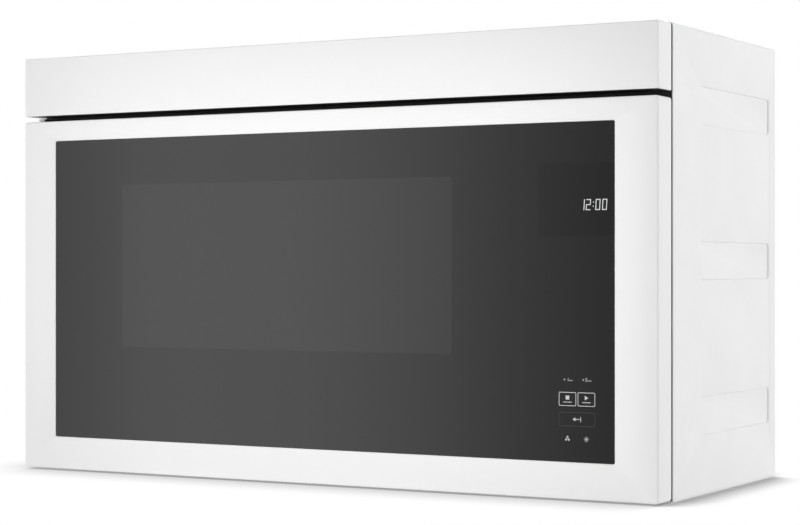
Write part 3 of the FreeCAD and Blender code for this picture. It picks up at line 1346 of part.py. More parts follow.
def make_charcoal_filter():
    half, depth, height, rim, dish = 185, 16, 108, 6, 2
    y0, z0 = plate_back_y + 8, cavity_outer_top + d.clearance
    y1 = y0 + depth
    frame = block("charcoal_frame", (-half, y0, z0), (half, y1, z0 + height))
    face = block("charcoal_face", (-half + rim, y0 - 1, z0 + rim), (half - rim, y0 + dish, z0 + height - rim))
    back = block("charcoal_back", (-half + rim, y1 - dish, z0 + rim), (half - rim, y1 + 1, z0 + height - rim))
    piece("charcoal_filter", carve("charcoal_filter", frame, face, back))


blower_end = d.wheel_start + d.wheel_length + 7


def make_blower_housing():
    wall = d.scroll_wall
    x, y, z, r = blower_end, blower_y, blower_z, d.scroll_radius
    slack = 0.2
    duct_y1 = rear_y - d.duct_rear_margin + slack
    duct_y0 = duct_y1 - d.duct_depth - 2 * slack
    foot_offset, foot_half_x, foot_half_y, foot_overlap = 80, 12, 26, 9
    drum = rod("scroll_outer", "x", (-x, y, z), 2 * x, r + wall)
    neck = block("neck_outer", (-x, duct_y0 - wall, z), (x, duct_y1 + wall, roof_z))
    feet = [block(f"scroll_foot_{n}", (a - foot_half_x, y - foot_half_y, cavity_outer_top),
                  (a + foot_half_x, y + foot_half_y, z - r + foot_overlap))
            for n, a in enumerate((-foot_offset, foot_offset))]
    solid = join("housing_solid", drum, neck, *feet)
    inside = rod("scroll_inner", "x", (-x + wall, y, z), 2 * (x - wall), r)
    throat = block("neck_inner", (-x + wall, duct_y0, z), (x - wall, duct_y1, roof_z + 1))
    inlets = rod("scroll_inlets", "x", (-x - 1, y, z), 2 * x + 2, d.wheel_radius - 6)
    piece("blower_housing", carve("blower_housing", solid, inside, throat, inlets))


def make_blower_motor():
    y, z, half = blower_y, blower_z, d.wheel_start - 12
    boss_reach, boss_radius = 6, 12
    leg_half_x, leg_half_y, leg_top = 14, 10.0, 30
    case = rod("blower_motor_case", "x", (-half, y, z), 2 * half, d.blower_motor_radius)
    boss = rod("blower_motor_boss", "x", (-half - boss_reach, y, z), 2 * (half + boss_reach), boss_radius)
    sag = math.sqrt(d.scroll_radius.value ** 2 - leg_half_y ** 2)
    leg = block("blower_motor_leg", (-leg_half_x, y - leg_half_y, z - sag + d.clearance),
                (leg_half_x, y + leg_half_y, z - leg_top))
    bore = rod("blower_motor_bore", "x", (-half - 10, y, z), 2 * half + 20,
               d.blower_shaft_radius + d.running_gap)
    piece("blower_motor", carve("blower_motor", join("blower_motor_solid", case, boss, leg), bore))


def make_blower_wheel(label, side):
    """A squirrel-cage wheel: hub disc next to the motor, end ring outside, blades between them."""
    body = new_body(label, is_piece=False)
    start = side * d.wheel_start
    end = side * (d.wheel_start + d.wheel_length)
    disc = side * 2.0
    hub_radius, blade_half, blade_inset = 9, 0.6, 0.5
    radius, inner = d.wheel_radius, d.wheel_radius - 8
    blade = (rectangle, inner + blade_inset, -blade_half, radius - blade_inset, blade_half)
    slab(body, "YZ", start, start + disc, (circle, 0, 0, radius))
    slab(body, "YZ", start, start + disc * 6, (circle, 0, 0, hub_radius))
    slab(body, "YZ", start + disc / 2, end - disc / 2, blade)
    repeat_around(body, "X_Axis", d.blade_count)
    slab(body, "YZ", end - disc, end, (circle, 0, 0, radius), (circle, 0, 0, inner))
    bore = d.blower_shaft_radius + 0.01
    slab(body, "YZ", start - disc, start + disc * 7, (circle, 0, 0, bore), cut=True)
    body.setExpression("Placement.Base.y", blower_y.text)
    body.setExpression("Placement.Base.z", blower_z.text)
    return body


def make_blower_shaft():
    half = d.wheel_start + 13
    length = 2 * half
    piece("blower_shaft", rod("blower_rod", "x", (-half, blower_y, blower_z), length, d.blower_shaft_radius))


make_outer_cabinet()
make_base_plate()
make_rear_panel()
make_wall_plate()
make_front_plate()
make_plenum_plate()
make_cord_bushing()
make_vent_bar()
make_bar_brackets()
make_bar_screws()
make_door_frame()
make_hinge_bushings()
make_door_glass()
make_choke_panel()
make_window_pieces()
make_controls()
make_latch_hooks()
make_latch_spring()
upper_pin_z = door_top - d.bushing_length + 1
lower_pin_z = notch_top + d.bushing_length - 1
upper_bracket = make_hinge_bracket("upper_bracket", upper_arm_z, upper_pin_z, upper_arm_z)
lower_arm_top = lower_arm_z + d.bracket_thickness
lower_bracket = make_hinge_bracket("lower_bracket", lower_arm_z, lower_arm_top, lower_pin_z)
piece("hinge_brackets", group("hinge_brackets", upper_bracket, lower_bracket))
screw_seats = [(x, plate_y, z, -1) for x, z in hinge_screw_places]
screw_seats += [(x, rear_panel_y, z, 1) for x, z in rear_screw_places]
screws("panel_screws", "y", screw_seats, 8)
make_latch_board()
make_switches()
make_release()
make_oven_cavity()
make_cavity_floor_plate()
make_waveguide()
make_stirrer()
make_magnetron()
make_transformer()
make_capacitor()
make_cooling_fan()
make_boards()
make_sensors()
make_grease_filters()
make_cooktop_lamps()
make_charcoal_filter()
make_blower_housing()
make_blower_motor()
wheels = [make_blower_wheel("wheel_left", -1), make_blower_wheel("wheel_right", 1)]
piece("blower_wheels", group("blower_wheels", *wheels))
make_blower_shaft()
doc.recompute()


def check_document():
    """Stops on a failed object, an empty or invalid piece, or a pocket that cut nothing."""
    for obj in doc.Objects:
        if "Invalid" in obj.State or "Error" in obj.State:
            raise RuntimeError(f"{obj.Name} failed: {obj.State}")
        if obj.TypeId == "PartDesign::Pocket":
            before = obj.BaseFeature.Shape.Volume
            if before - obj.Shape.Volume < 1e-3:
                raise RuntimeError(f"{obj.Name} cuts nothing")
    labels = [obj.Label for obj in pieces]
    if len(set(labels)) != len(labels) or len(labels) > 60:
        raise RuntimeError(f"{len(labels)} pieces, labels must differ and be at most 60")
    for obj in pieces:
        if obj.Shape.isNull() or not obj.Shape.isValid() or not obj.Shape.Solids:
            raise RuntimeError(f"{obj.Label} has no valid solid")


check_document()
os.makedirs("parts", exist_ok=True)
for obj in pieces:
    obj.Shape.exportStep(f"parts/{obj.Label}.step")
print(len(pieces), "pieces")
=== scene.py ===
import math

import bmesh
import bpy
from mathutils import Matrix, Vector


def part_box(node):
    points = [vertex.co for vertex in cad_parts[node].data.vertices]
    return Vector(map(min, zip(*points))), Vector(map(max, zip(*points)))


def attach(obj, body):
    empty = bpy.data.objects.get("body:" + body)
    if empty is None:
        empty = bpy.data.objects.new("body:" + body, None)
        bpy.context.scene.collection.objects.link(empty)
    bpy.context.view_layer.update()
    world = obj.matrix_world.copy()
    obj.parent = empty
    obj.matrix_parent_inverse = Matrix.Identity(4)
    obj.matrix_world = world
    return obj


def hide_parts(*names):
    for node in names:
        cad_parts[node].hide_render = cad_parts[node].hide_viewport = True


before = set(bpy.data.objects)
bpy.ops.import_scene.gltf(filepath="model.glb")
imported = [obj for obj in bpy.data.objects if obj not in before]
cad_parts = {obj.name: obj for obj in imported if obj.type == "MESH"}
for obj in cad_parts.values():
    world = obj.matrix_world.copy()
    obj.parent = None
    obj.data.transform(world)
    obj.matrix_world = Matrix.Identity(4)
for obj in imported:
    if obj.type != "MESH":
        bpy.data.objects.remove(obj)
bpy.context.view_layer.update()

mm = 0.001
standing = Matrix.Rotation(math.radians(90), 4, "X")  # drawn flat, stood up to face the front
facingRight = Matrix(((0, 0, 1, 0), (1, 0, 0, 0), (0, 1, 0, 0), (0, 0, 0, 1)))
facingLeft = Matrix.Scale(-1, 4, (1, 0, 0)) @ facingRight


# small tools for materials
def linearColour(hexCode):
    channels = [int(hexCode[i:i + 2], 16) / 255 for i in (0, 2, 4)]
    return [c / 12.92 if c <= 0.04045 else ((c + 0.055) / 1.055) ** 2.4 for c in channels] + [1.0]


def addNode(tree, kind, inputs=None, **settings):
    node = tree.nodes.new(kind)
    for setting, value in settings.items():
        setattr(node, setting, value)
    for socket, value in (inputs or {}).items():
        if isinstance(value, bpy.types.NodeSocket):
            tree.links.new(value, node.inputs[socket])
        else:
            node.inputs[socket].default_value = value
    return node


def startMaterial(name, hexCode, roughness, metallic=0.0):
    material = bpy.data.materials.new(name)
    material.use_nodes = True
    tree = material.node_tree
    surface = tree.nodes["Principled BSDF"]
    surface.inputs["Base Color"].default_value = linearColour(hexCode)
    surface.inputs["Roughness"].default_value = roughness
    surface.inputs["Metallic"].default_value = metallic
    coords = addNode(tree, "ShaderNodeTexCoord")
    return material, tree, surface, coords.outputs["Object"]


def perMillimetre(size):
    return 1000.0 / size  # texture scale for a pattern that repeats every so many millimetres


def grainBump(tree, surface, place, size, height, detail=2.0):
    noise = addNode(tree, "ShaderNodeTexNoise", {
        "Vector": place, "Scale": perMillimetre(size), "Detail": detail})
    bump = addNode(tree, "ShaderNodeBump", {
        "Height": noise.outputs["Fac"], "Distance": height * mm, "Strength": 1.0})
    tree.links.new(bump.outputs["Normal"], surface.inputs["Normal"])
    return noise.outputs["Fac"]


def shadeVariation(tree, surface, place, darkHex, lightHex, size, detail=3.0):
    noise = addNode(tree, "ShaderNodeTexNoise", {
        "Vector": place, "Scale": perMillimetre(size), "Detail": detail})
    ramp = addNode(tree, "ShaderNodeValToRGB", {"Fac": noise.outputs["Fac"]})
    ramp.color_ramp.elements[0].position = 0.35
    ramp.color_ramp.elements[0].color = linearColour(darkHex)
    ramp.color_ramp.elements[1].position = 0.65
    ramp.color_ramp.elements[1].color = linearColour(lightHex)
    tree.links.new(ramp.outputs["Color"], surface.inputs["Base Color"])
    return noise.outputs["Fac"]


def boxMask(tree, place, low, high, soft):
    # 1 inside a box on the front face, 0 outside
    parts = addNode(tree, "ShaderNodeSeparateXYZ", {"Vector": place})
    mask = None
    for axis, a, b in (("X", low[0], high[0]), ("Z", low[1], high[1])):
        for edge, side in ((a, 1), (b, -1)):
            ramp = addNode(tree, "ShaderNodeMapRange", {
                "Value": parts.outputs[axis], "From Min": (edge - side * soft) * mm,
                "From Max": (edge + side * soft) * mm, "To Min": 0.0, "To Max": 1.0})
            if mask is None:
                mask = ramp.outputs["Result"]
            else:
                mask = addNode(tree, "ShaderNodeMath", {0: mask, 1: ramp.outputs["Result"]},
                               operation="MULTIPLY").outputs["Value"]
    return mask


# materials, each one the real finish of a piece
def whiteEnamelledSteel():
    # sheet steel with a baked white coat: smooth, satin, with a faint orange peel
    material, tree, surface, place = startMaterial("whiteEnamelledSteel", "F1F2F1", 0.32)
    grainBump(tree, surface, place, 2.2, 0.012, 1.0)
    surface.inputs["Specular IOR Level"].default_value = 0.4
    return material


def powderCoatedSteel():
    # the cabinet's wrap: the same white as a powder coat, rougher and finely pebbled
    material, tree, surface, place = startMaterial("powderCoatedSteel", "EEEFEE", 0.48)
    shadeVariation(tree, surface, place, "EDEEED", "EFF0EF", 60)
    grainBump(tree, surface, place, 0.9, 0.02)
    return material


def blackPaintedSteel():
    # the chassis face in satin black; the black also serves as painted shade, so that the gaps look dark
    material, tree, surface, place = startMaterial("blackPaintedSteel", "141414", 0.5)
    shadeVariation(tree, surface, place, "121212", "181818", 40)
    grainBump(tree, surface, place, 0.8, 0.02)
    return material


def galvanisedSteel():
    # hot-dip zinc: interlocking crystals a centimetre across, each with its own grey
    material, tree, surface, place = startMaterial("galvanisedSteel", "A6A8AA", 0.42, 1.0)
    crystals = addNode(tree, "ShaderNodeTexVoronoi", {"Vector": place, "Scale": perMillimetre(9)})
    tone = addNode(tree, "ShaderNodeSeparateColor", {"Color": crystals.outputs["Color"]})
    ramp = addNode(tree, "ShaderNodeValToRGB", {"Fac": tone.outputs["Red"]})
    ramp.color_ramp.elements[0].color = linearColour("9A9C9F")
    ramp.color_ramp.elements[1].color = linearColour("B8BABC")
    tree.links.new(ramp.outputs["Color"], surface.inputs["Base Color"])
    rough = addNode(tree, "ShaderNodeMapRange", {
        "Value": tone.outputs["Green"], "To Min": 0.34, "To Max": 0.52})
    tree.links.new(rough.outputs["Result"], surface.inputs["Roughness"])
    return material


def electroplatedZinc():
    # bright zinc on brackets and screws
    material, tree, surface, place = startMaterial("electroplatedZinc", "C2C4C6", 0.28, 1.0)
    grainBump(tree, surface, place, 0.6, 0.004)
    shadeVariation(tree, surface, place, "B4B6B9", "CDCFD0", 6)
    return material


glassPrint = {"window": ((-244.8, 137.9), (160.2, 313.4)), "display": ((255.5, 253.6), (336.2, 323.6)),
              "soft": 0.4}


def blackTemperedGlass():
    # glass with a black ceramic print on its back: the window and the display are thinner print
    material, tree, surface, place = startMaterial("blackTemperedGlass", "0C0C0C", 0.035)
    window = boxMask(tree, place, *glassPrint["window"], glassPrint["soft"])
    display = boxMask(tree, place, *glassPrint["display"], glassPrint["soft"])
    tint = addNode(tree, "ShaderNodeMix", {
        "Factor": window, "A": linearColour("0E0E0E"), "B": linearColour("202020")}, data_type="RGBA")
    final = addNode(tree, "ShaderNodeMix", {
        "Factor": display, "A": tint.outputs["Result"], "B": linearColour("030303")}, data_type="RGBA")
    tree.links.new(final.outputs["Result"], surface.inputs["Base Color"])
    surface.inputs["IOR"].default_value = 1.52
    return material


def clearGlass():
    # the inner pane: thin and nearly colourless, so the screen shows through it
    material, tree, surface, place = startMaterial("clearGlass", "D8DEDC", 0.03)
    surface.inputs["Transmission Weight"].default_value = 1.0
    surface.inputs["IOR"].default_value = 1.5
    grainBump(tree, surface, place, 14, 0.004)
    return material


screenHoles = {"pitch": 2.2, "open": 0.07}  # open: a hole's radius over the pitch, squared


def perforatedSteel():
    # black screen: rows of 1.1 mm holes, drawn every 2.2 mm
    material, tree, surface, place = startMaterial("perforatedSteel", "1A1A1A", 0.45)
    parts = addNode(tree, "ShaderNodeSeparateXYZ", {"Vector": place})
    squares = []
    for axis in ("X", "Z"):
        turn = addNode(tree, "ShaderNodeMath", {0: parts.outputs[axis], 1: screenHoles["pitch"] * mm},
                       operation="DIVIDE")
        fraction = addNode(tree, "ShaderNodeMath", {0: turn.outputs["Value"]}, operation="FRACT")
        centred = addNode(tree, "ShaderNodeMath", {0: fraction.outputs["Value"], 1: 0.5},
                          operation="SUBTRACT")
        squares.append(addNode(tree, "ShaderNodeMath", {0: centred.outputs["Value"], 1: 2.0},
                               operation="POWER").outputs["Value"])
    radius = addNode(tree, "ShaderNodeMath", {0: squares[0], 1: squares[1]}, operation="ADD")
    solid = addNode(tree, "ShaderNodeMath", {0: radius.outputs["Value"], 1: screenHoles["open"]},
                    operation="GREATER_THAN")
    tone = addNode(tree, "ShaderNodeMix", {
        "Factor": solid.outputs["Value"], "A": linearColour("040404"), "B": linearColour("3A3A3A")},
        data_type="RGBA")
    tree.links.new(tone.outputs["Result"], surface.inputs["Base Color"])
    return material


def greyCavityEnamel():
    # epoxy enamel inside the oven: light grey with fine darker flecks
    material, tree, surface, place = startMaterial("greyCavityEnamel", "A3A39F", 0.3)
    flecks = addNode(tree, "ShaderNodeTexNoise", {
        "Vector": place, "Scale": perMillimetre(1.6), "Detail": 1.0})
    ramp = addNode(tree, "ShaderNodeValToRGB", {"Fac": flecks.outputs["Fac"]})
    ramp.color_ramp.elements[0].position = 0.36
    ramp.color_ramp.elements[0].color = linearColour("83837F")
    ramp.color_ramp.elements[1].position = 0.44
    ramp.color_ramp.elements[1].color = linearColour("A6A6A2")
    tree.links.new(ramp.outputs["Color"], surface.inputs["Base Color"])
    surface.inputs["Coat Weight"].default_value = 0.3
    return material


def glassCeramic():
    # the flat floor of the oven: milky, hard and slightly speckled
    material, tree, surface, place = startMaterial("glassCeramic", "D9D6CC", 0.25)
    shadeVariation(tree, surface, place, "D2CFC5", "DEDBD2", 1.5, 4.0)
    surface.inputs["Subsurface Weight"].default_value = 0.05
    return material


def mouldedAbs(name, hexCode, roughness):
    # injection moulded ABS: an even colour with a fine spark-eroded grain
    material, tree, surface, place = startMaterial(name, hexCode, roughness)
    grainBump(tree, surface, place, 0.5, 0.015)
    return material


def rolledAluminium():
    # thin mill-finish aluminium, with rolling lines along its length
    material, tree, surface, place = startMaterial("rolledAluminium", "C4C5C6", 0.34, 1.0)
    stretched = addNode(tree, "ShaderNodeMapping", {"Vector": place, "Scale": (0.05, 1.0, 1.0)})
    lines = addNode(tree, "ShaderNodeTexNoise", {
        "Vector": stretched.outputs["Vector"], "Scale": perMillimetre(0.7), "Detail": 3.0})
    rough = addNode(tree, "ShaderNodeMapRange", {
        "Value": lines.outputs["Fac"], "To Min": 0.26, "To Max": 0.46})
    tree.links.new(rough.outputs["Result"], surface.inputs["Roughness"])
    bump = addNode(tree, "ShaderNodeBump", {"Height": lines.outputs["Fac"], "Distance": 0.01 * mm})
    tree.links.new(bump.outputs["Normal"], surface.inputs["Normal"])
    return material


netDiamond = {"length": 9.0, "width": 5.0}


def expandedAluminium():
    # slit and stretched foil in layers: a net of diamonds, drawn coarse enough to show
    material, tree, surface, place = startMaterial("expandedAluminium", "B9BABB", 0.36, 1.0)
    parts = addNode(tree, "ShaderNodeSeparateXYZ", {"Vector": place})
    across = addNode(tree, "ShaderNodeMath", {0: parts.outputs["X"], 1: netDiamond["length"] * mm},
                     operation="DIVIDE")
    along = addNode(tree, "ShaderNodeMath", {0: parts.outputs["Y"], 1: netDiamond["width"] * mm},
                    operation="DIVIDE")
    strands = []
    for slant in ("ADD", "SUBTRACT"):
        lean = addNode(tree, "ShaderNodeMath", {0: across.outputs["Value"], 1: along.outputs["Value"]},
                       operation=slant)
        wave = addNode(tree, "ShaderNodeMath", {0: lean.outputs["Value"], 1: 0.5}, operation="PINGPONG")
        strands.append(addNode(tree, "ShaderNodeMapRange", {
            "Value": wave.outputs["Value"], "From Min": 0.1, "From Max": 0.16, "To Min": 1.0, "To Max": 0.0}))
    net = addNode(tree, "ShaderNodeMath", {0: strands[0].outputs["Result"], 1: strands[1].outputs["Result"]},
                  operation="MAXIMUM")
    tone = addNode(tree, "ShaderNodeMix", {
        "Factor": net.outputs["Value"], "A": linearColour("3A3B3C"), "B": linearColour("C6C7C8")},
        data_type="RGBA")
    tree.links.new(tone.outputs["Result"], surface.inputs["Base Color"])
    bump = addNode(tree, "ShaderNodeBump", {"Height": net.outputs["Value"], "Distance": 0.5 * mm})
    tree.links.new(bump.outputs["Normal"], surface.inputs["Normal"])
    return material


def enamelledCopper():
    # magnet wire in layers: each turn is a fine ring round the coil
    material, tree, surface, place = startMaterial("enamelledCopper", "9C5223", 0.3, 0.85)
    wires = addNode(tree, "ShaderNodeTexWave", {"Vector": place, "Scale": perMillimetre(6.4) / 2},
                    bands_direction="Z")
    bump = addNode(tree, "ShaderNodeBump", {"Height": wires.outputs["Fac"], "Distance": 0.3 * mm})
    tree.links.new(bump.outputs["Normal"], surface.inputs["Normal"])
    # painted shade and highlight: the colour runs dark in the grooves and light on the crests of the turns,
    # in step with the bump
    tone = addNode(tree, "ShaderNodeMix", {
        "Factor": wires.outputs["Fac"], "A": linearColour("6E3616"), "B": linearColour("B4652E")},
        data_type="RGBA")
    tree.links.new(tone.outputs["Result"], surface.inputs["Base Color"])
    return material


def laminatedSteel():
    # stacked core sheets, varnished: dark with a line at each sheet
    material, tree, surface, place = startMaterial("laminatedSteel", "4A4A4B", 0.5, 0.7)
    sheets = addNode(tree, "ShaderNodeTexWave", {"Vector": place, "Scale": perMillimetre(6.4) / 2},
                     bands_direction="Y")
    bump = addNode(tree, "ShaderNodeBump", {"Height": sheets.outputs["Fac"], "Distance": 0.15 * mm})
    tree.links.new(bump.outputs["Normal"], surface.inputs["Normal"])
    shadeVariation(tree, surface, place, "3C3C3D", "555556", 12)
    return material


def glassFibreBoard():
    # circuit board under green solder mask, with tracks under the mask
    material, tree, surface, place = startMaterial("glassFibreBoard", "17492A", 0.35)
    tracks = addNode(tree, "ShaderNodeTexBrick", {
        "Vector": place, "Scale": perMillimetre(22), "Mortar Size": 0.02,
        "Color1": linearColour("163F26"), "Color2": linearColour("1B4E2E"), "Mortar": linearColour("3C7A4A")})
    tree.links.new(tracks.outputs["Color"], surface.inputs["Base Color"])
    return material


def activatedCarbon():
    # pressed black granules
    material, tree, surface, place = startMaterial("activatedCarbon", "1C1C1C", 0.85)
    granules = addNode(tree, "ShaderNodeTexVoronoi", {"Vector": place, "Scale": perMillimetre(3)})
    bump = addNode(tree, "ShaderNodeBump", {"Height": granules.outputs["Distance"], "Distance": 0.8 * mm})
    tree.links.new(bump.outputs["Normal"], surface.inputs["Normal"])
    return material


def frostedPolycarbonate():
    # the lamp lenses: milky, so the lamp behind is only a glow
    material, tree, surface, place = startMaterial("frostedPolycarbonate", "E9ECEB", 0.4)
    surface.inputs["Transmission Weight"].default_value = 0.35
    surface.inputs["IOR"].default_value = 1.58
    grainBump(tree, surface, place, 0.8, 0.02)
    return material


def screenPrintInk(name, hexCode):
    # the light print on the back of the glass: matte, a little uneven
    material, tree, surface, place = startMaterial(name, hexCode, 0.6)
    grainBump(tree, surface, place, 0.3, 0.004)
    return material


def litDisplay():
    # white display segments, lit from behind at a plain level
    material, tree, surface, place = startMaterial("litDisplay", "E8EAEA", 0.5)
    glow = addNode(tree, "ShaderNodeTexNoise", {"Vector": place, "Scale": perMillimetre(4)})
    ramp = addNode(tree, "ShaderNodeValToRGB", {"Fac": glow.outputs["Fac"]})
    ramp.color_ramp.elements[0].color = linearColour("D9DCDC")
    ramp.color_ramp.elements[1].color = linearColour("F2F4F4")
    tree.links.new(ramp.outputs["Color"], surface.inputs["Emission Color"])
    surface.inputs["Emission Strength"].default_value = 0.85
    surface.inputs["Base Color"].default_value = linearColour("202020")
    return material


finish = {
    "enamel": whiteEnamelledSteel(), "powder": powderCoatedSteel(), "black": blackPaintedSteel(),
    "galvanised": galvanisedSteel(), "zinc": electroplatedZinc(), "blackGlass": blackTemperedGlass(),
    "clearGlass": clearGlass(), "screen": perforatedSteel(), "cavity": greyCavityEnamel(),
    "ceramic": glassCeramic(), "blackAbs": mouldedAbs("blackAbs", "161616", 0.42),
    "greyNylon": mouldedAbs("greyNylon", "8B8E90", 0.45), "redNylon": mouldedAbs("redNylon", "8E2018", 0.4),
    "whitePbt": mouldedAbs("whitePbt", "DEDDD8", 0.42), "aluminium": rolledAluminium(),
    "net": expandedAluminium(), "copper": enamelledCopper(), "core": laminatedSteel(),
    "board": glassFibreBoard(),
    "carbon": activatedCarbon(), "lens": frostedPolycarbonate(),
    "ink": screenPrintInk("screenPrintInk", "C9CBCB"), "faintInk": screenPrintInk("faintPrintInk", "3A3A3A"),
    "display": litDisplay(),
}
print("materials made", len(finish))

nodeFinish = {
    "outer_cabinet": "powder", "base_plate": "powder", "rear_panel": "galvanised",
    "wall_mounting_plate": "galvanised", "front_plate": "black", "plenum_plate": "galvanised",
    "cord_bushing": "blackAbs", "vent_bar": "enamel", "bar_brackets": "zinc", "bar_screws": "zinc",
    "hinge_brackets": "zinc", "panel_screws": "zinc", "latch_board": "whitePbt",
    "interlock_switches": "blackAbs", "release_solenoid": "core", "oven_cavity": "cavity",
    "ceramic_floor": "ceramic", "waveguide": "galvanised", "stirrer_motor": "galvanised",
    "magnetron": "aluminium", "transformer_core": "core", "transformer_windings": "copper",
    "capacitor": "aluminium", "capacitor_clamp": "zinc", "high_voltage_diode": "blackAbs",
    "fan_shroud": "greyNylon", "fan_motor": "core", "power_board": "board",
    "noise_filter_board": "board", "cavity_lamp": "whitePbt", "thermal_cutouts": "blackAbs",
    "cooktop_lamps": "whitePbt", "cooktop_lenses": "lens", "charcoal_filter": "carbon",
    "blower_housing": "galvanised", "blower_motor": "core", "door_frame": "enamel",
    "hinge_bushings": "greyNylon", "door_glass": "blackGlass", "choke_panel": "black",
    "window_screen": "screen", "inner_window": "clearGlass", "choke_cover": "blackAbs",
    "control_carrier": "blackAbs", "touch_board": "board", "display_module": "blackAbs",
    "latch_spring": "zinc", "latch_hooks": "greyNylon", "release_plunger": "zinc",
    "primary_switch_plunger": "redNylon", "secondary_switch_plunger": "redNylon",
    "monitor_switch_plunger": "redNylon", "blower_wheels": "greyNylon", "blower_shaft": "zinc",
    "fan_blade": "greyNylon", "stirrer_blade": "aluminium", "grease_filter_left": "aluminium",
    "filter_mesh_left": "net", "grease_filter_right": "aluminium",
    "filter_mesh_right": "net",
}
for node, key in nodeFinish.items():
    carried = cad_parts[node]
    carried.data.materials.clear()
    carried.data.materials.append(finish[key])
print("carried nodes finished", len(nodeFinish))


# small tools for meshes: sizes below are millimetres, and a piece is scaled once, when it is done
def addShape(bm, make, low=None, high=None, **settings):
    before = set(bm.verts)
    make(bm, **settings)
    verts = [v for v in bm.verts if v not in before]
    if low is not None:
        bmesh.ops.scale(bm, verts=verts, vec=[b - a for a, b in zip(low, high)])
        bmesh.ops.translate(bm, verts=verts, vec=[(a + b) / 2 for a, b in zip(low, high)])
    return verts


def addBox(bm, low, high):
    return addShape(bm, bmesh.ops.create_cube, low, high, size=1.0)


def addRod(bm, centre, radius, depth, turn=None, segments=32):
    before = set(bm.verts)
    bmesh.ops.create_cone(bm, cap_ends=True, segments=segments, radius1=radius, radius2=radius, depth=depth)
    verts = [v for v in bm.verts if v not in before]
    bmesh.ops.transform(bm, matrix=Matrix.Translation(centre) @ (turn or Matrix()), verts=verts)
    return verts


def facesOf(verts):
    inside = set(verts)
    return [f for f in {f for v in verts for f in v.link_faces} if all(v in inside for v in f.verts)]


def edgesOf(verts):
    inside = set(verts)
    return [e for e in {e for v in verts for e in v.link_edges} if all(v in inside for v in e.verts)]


def bevelEdges(bm, edges, offset, segments=4):
    if edges:
        bmesh.ops.bevel(bm, geom=edges, offset=offset, offset_type="OFFSET", segments=segments,
                        profile=0.5, affect="EDGES", material=-1, clamp_overlap=True)


def addRoundedFace(bm, x0, y0, x1, y1, radius, level=0.0, segments=6):
    before = set(bm.verts)
    verts = addShape(bm, bmesh.ops.create_grid, x_segments=1, y_segments=1, size=0.5)
    bmesh.ops.scale(bm, verts=verts, vec=(x1 - x0, y1 - y0, 1))
    bmesh.ops.translate(bm, verts=verts, vec=((x0 + x1) / 2, (y0 + y1) / 2, level))
    if radius > 0:
        bmesh.ops.bevel(bm, geom=verts, offset=radius, offset_type="OFFSET", segments=segments,
                        profile=0.5, affect="VERTICES", material=-1)
    return [v for v in bm.verts if v not in before]


def addCircleFace(bm, x, y, radius, level=0.0, segments=32):
    verts = addShape(bm, bmesh.ops.create_circle, cap_ends=True, radius=radius, segments=segments)
    bmesh.ops.translate(bm, verts=verts, vec=(x, y, level))
    return verts


def addSheet(bm, outline, holes, thickness=0.0, level=0.0):
    # a flat sheet with holes, drawn in the XY plane; with a thickness it goes down from its level
    verts = []
    for draw, *sizes in [outline, *holes]:
        verts += draw(bm, *sizes, level)
    edges = edgesOf(verts)
    bmesh.ops.delete(bm, geom=facesOf(verts), context="FACES_ONLY")
    filled = bmesh.ops.triangle_fill(bm, use_beauty=True, edges=edges, normal=(0, 0, 1))
    faces = [g for g in filled["geom"] if isinstance(g, bmesh.types.BMFace)]
    if thickness:
        grown = bmesh.ops.extrude_face_region(bm, geom=faces)
        lower = [g for g in grown["geom"] if isinstance(g, bmesh.types.BMVert)]
        bmesh.ops.translate(bm, verts=lower, vec=(0, 0, -thickness))
        verts += lower
    return verts


def bridge(bm, loops):
    # joins loops of the same count one after the other
    for first, second in zip(loops, loops[1:]):
        bmesh.ops.bridge_loops(bm, edges=edgesOf(first) + edgesOf(second))


def finishPiece(bm, name, body, materials, replaces=(), crease=35, bevel=0.0, flip=True):
    bmesh.ops.remove_doubles(bm, verts=bm.verts, dist=0.0005)
    if flip:
        bmesh.ops.recalc_face_normals(bm, faces=bm.faces)
    bmesh.ops.scale(bm, verts=bm.verts, vec=(mm, mm, mm))
    for face in bm.faces:
        face.smooth = True
    for edge in bm.edges:
        edge.smooth = len(edge.link_faces) == 2 and edge.calc_face_angle(0.0) < math.radians(crease)
    mesh = bpy.data.meshes.new(name)
    bm.to_mesh(mesh)
    bm.free()
    piece = bpy.data.objects.new(name, mesh)
    bpy.context.scene.collection.objects.link(piece)
    for material in materials if isinstance(materials, list) else [materials]:
        mesh.materials.append(material)
    if bevel:
        rounding = piece.modifiers.new("edgeRounding", "BEVEL")
        rounding.width = bevel * mm
        rounding.segments = 2
        rounding.limit_method = "ANGLE"
        rounding.angle_limit = math.radians(40)
        rounding.harden_normals = True
    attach(piece, body)
    if replaces:
        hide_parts(*replaces)
    return piece


def nodeBox(node):
    low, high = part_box(node)
    return [n / mm for n in low], [n / mm for n in high]


# the two enamelled fronts: a hollow box with round edges, open at its back
frontShape = {"barEdge": 2.8, "doorEdge": 1.6, "barCorner": 1.2, "doorCorner": 3.0, "wall": 3.0}
wideFace = 20000  # square millimetres, more than any rim or rounded edge has


def facesAtDepth(bm, depth):
    return [f for f in bm.faces if all(abs(v.co.y - depth) < 0.01 for v in f.verts)]


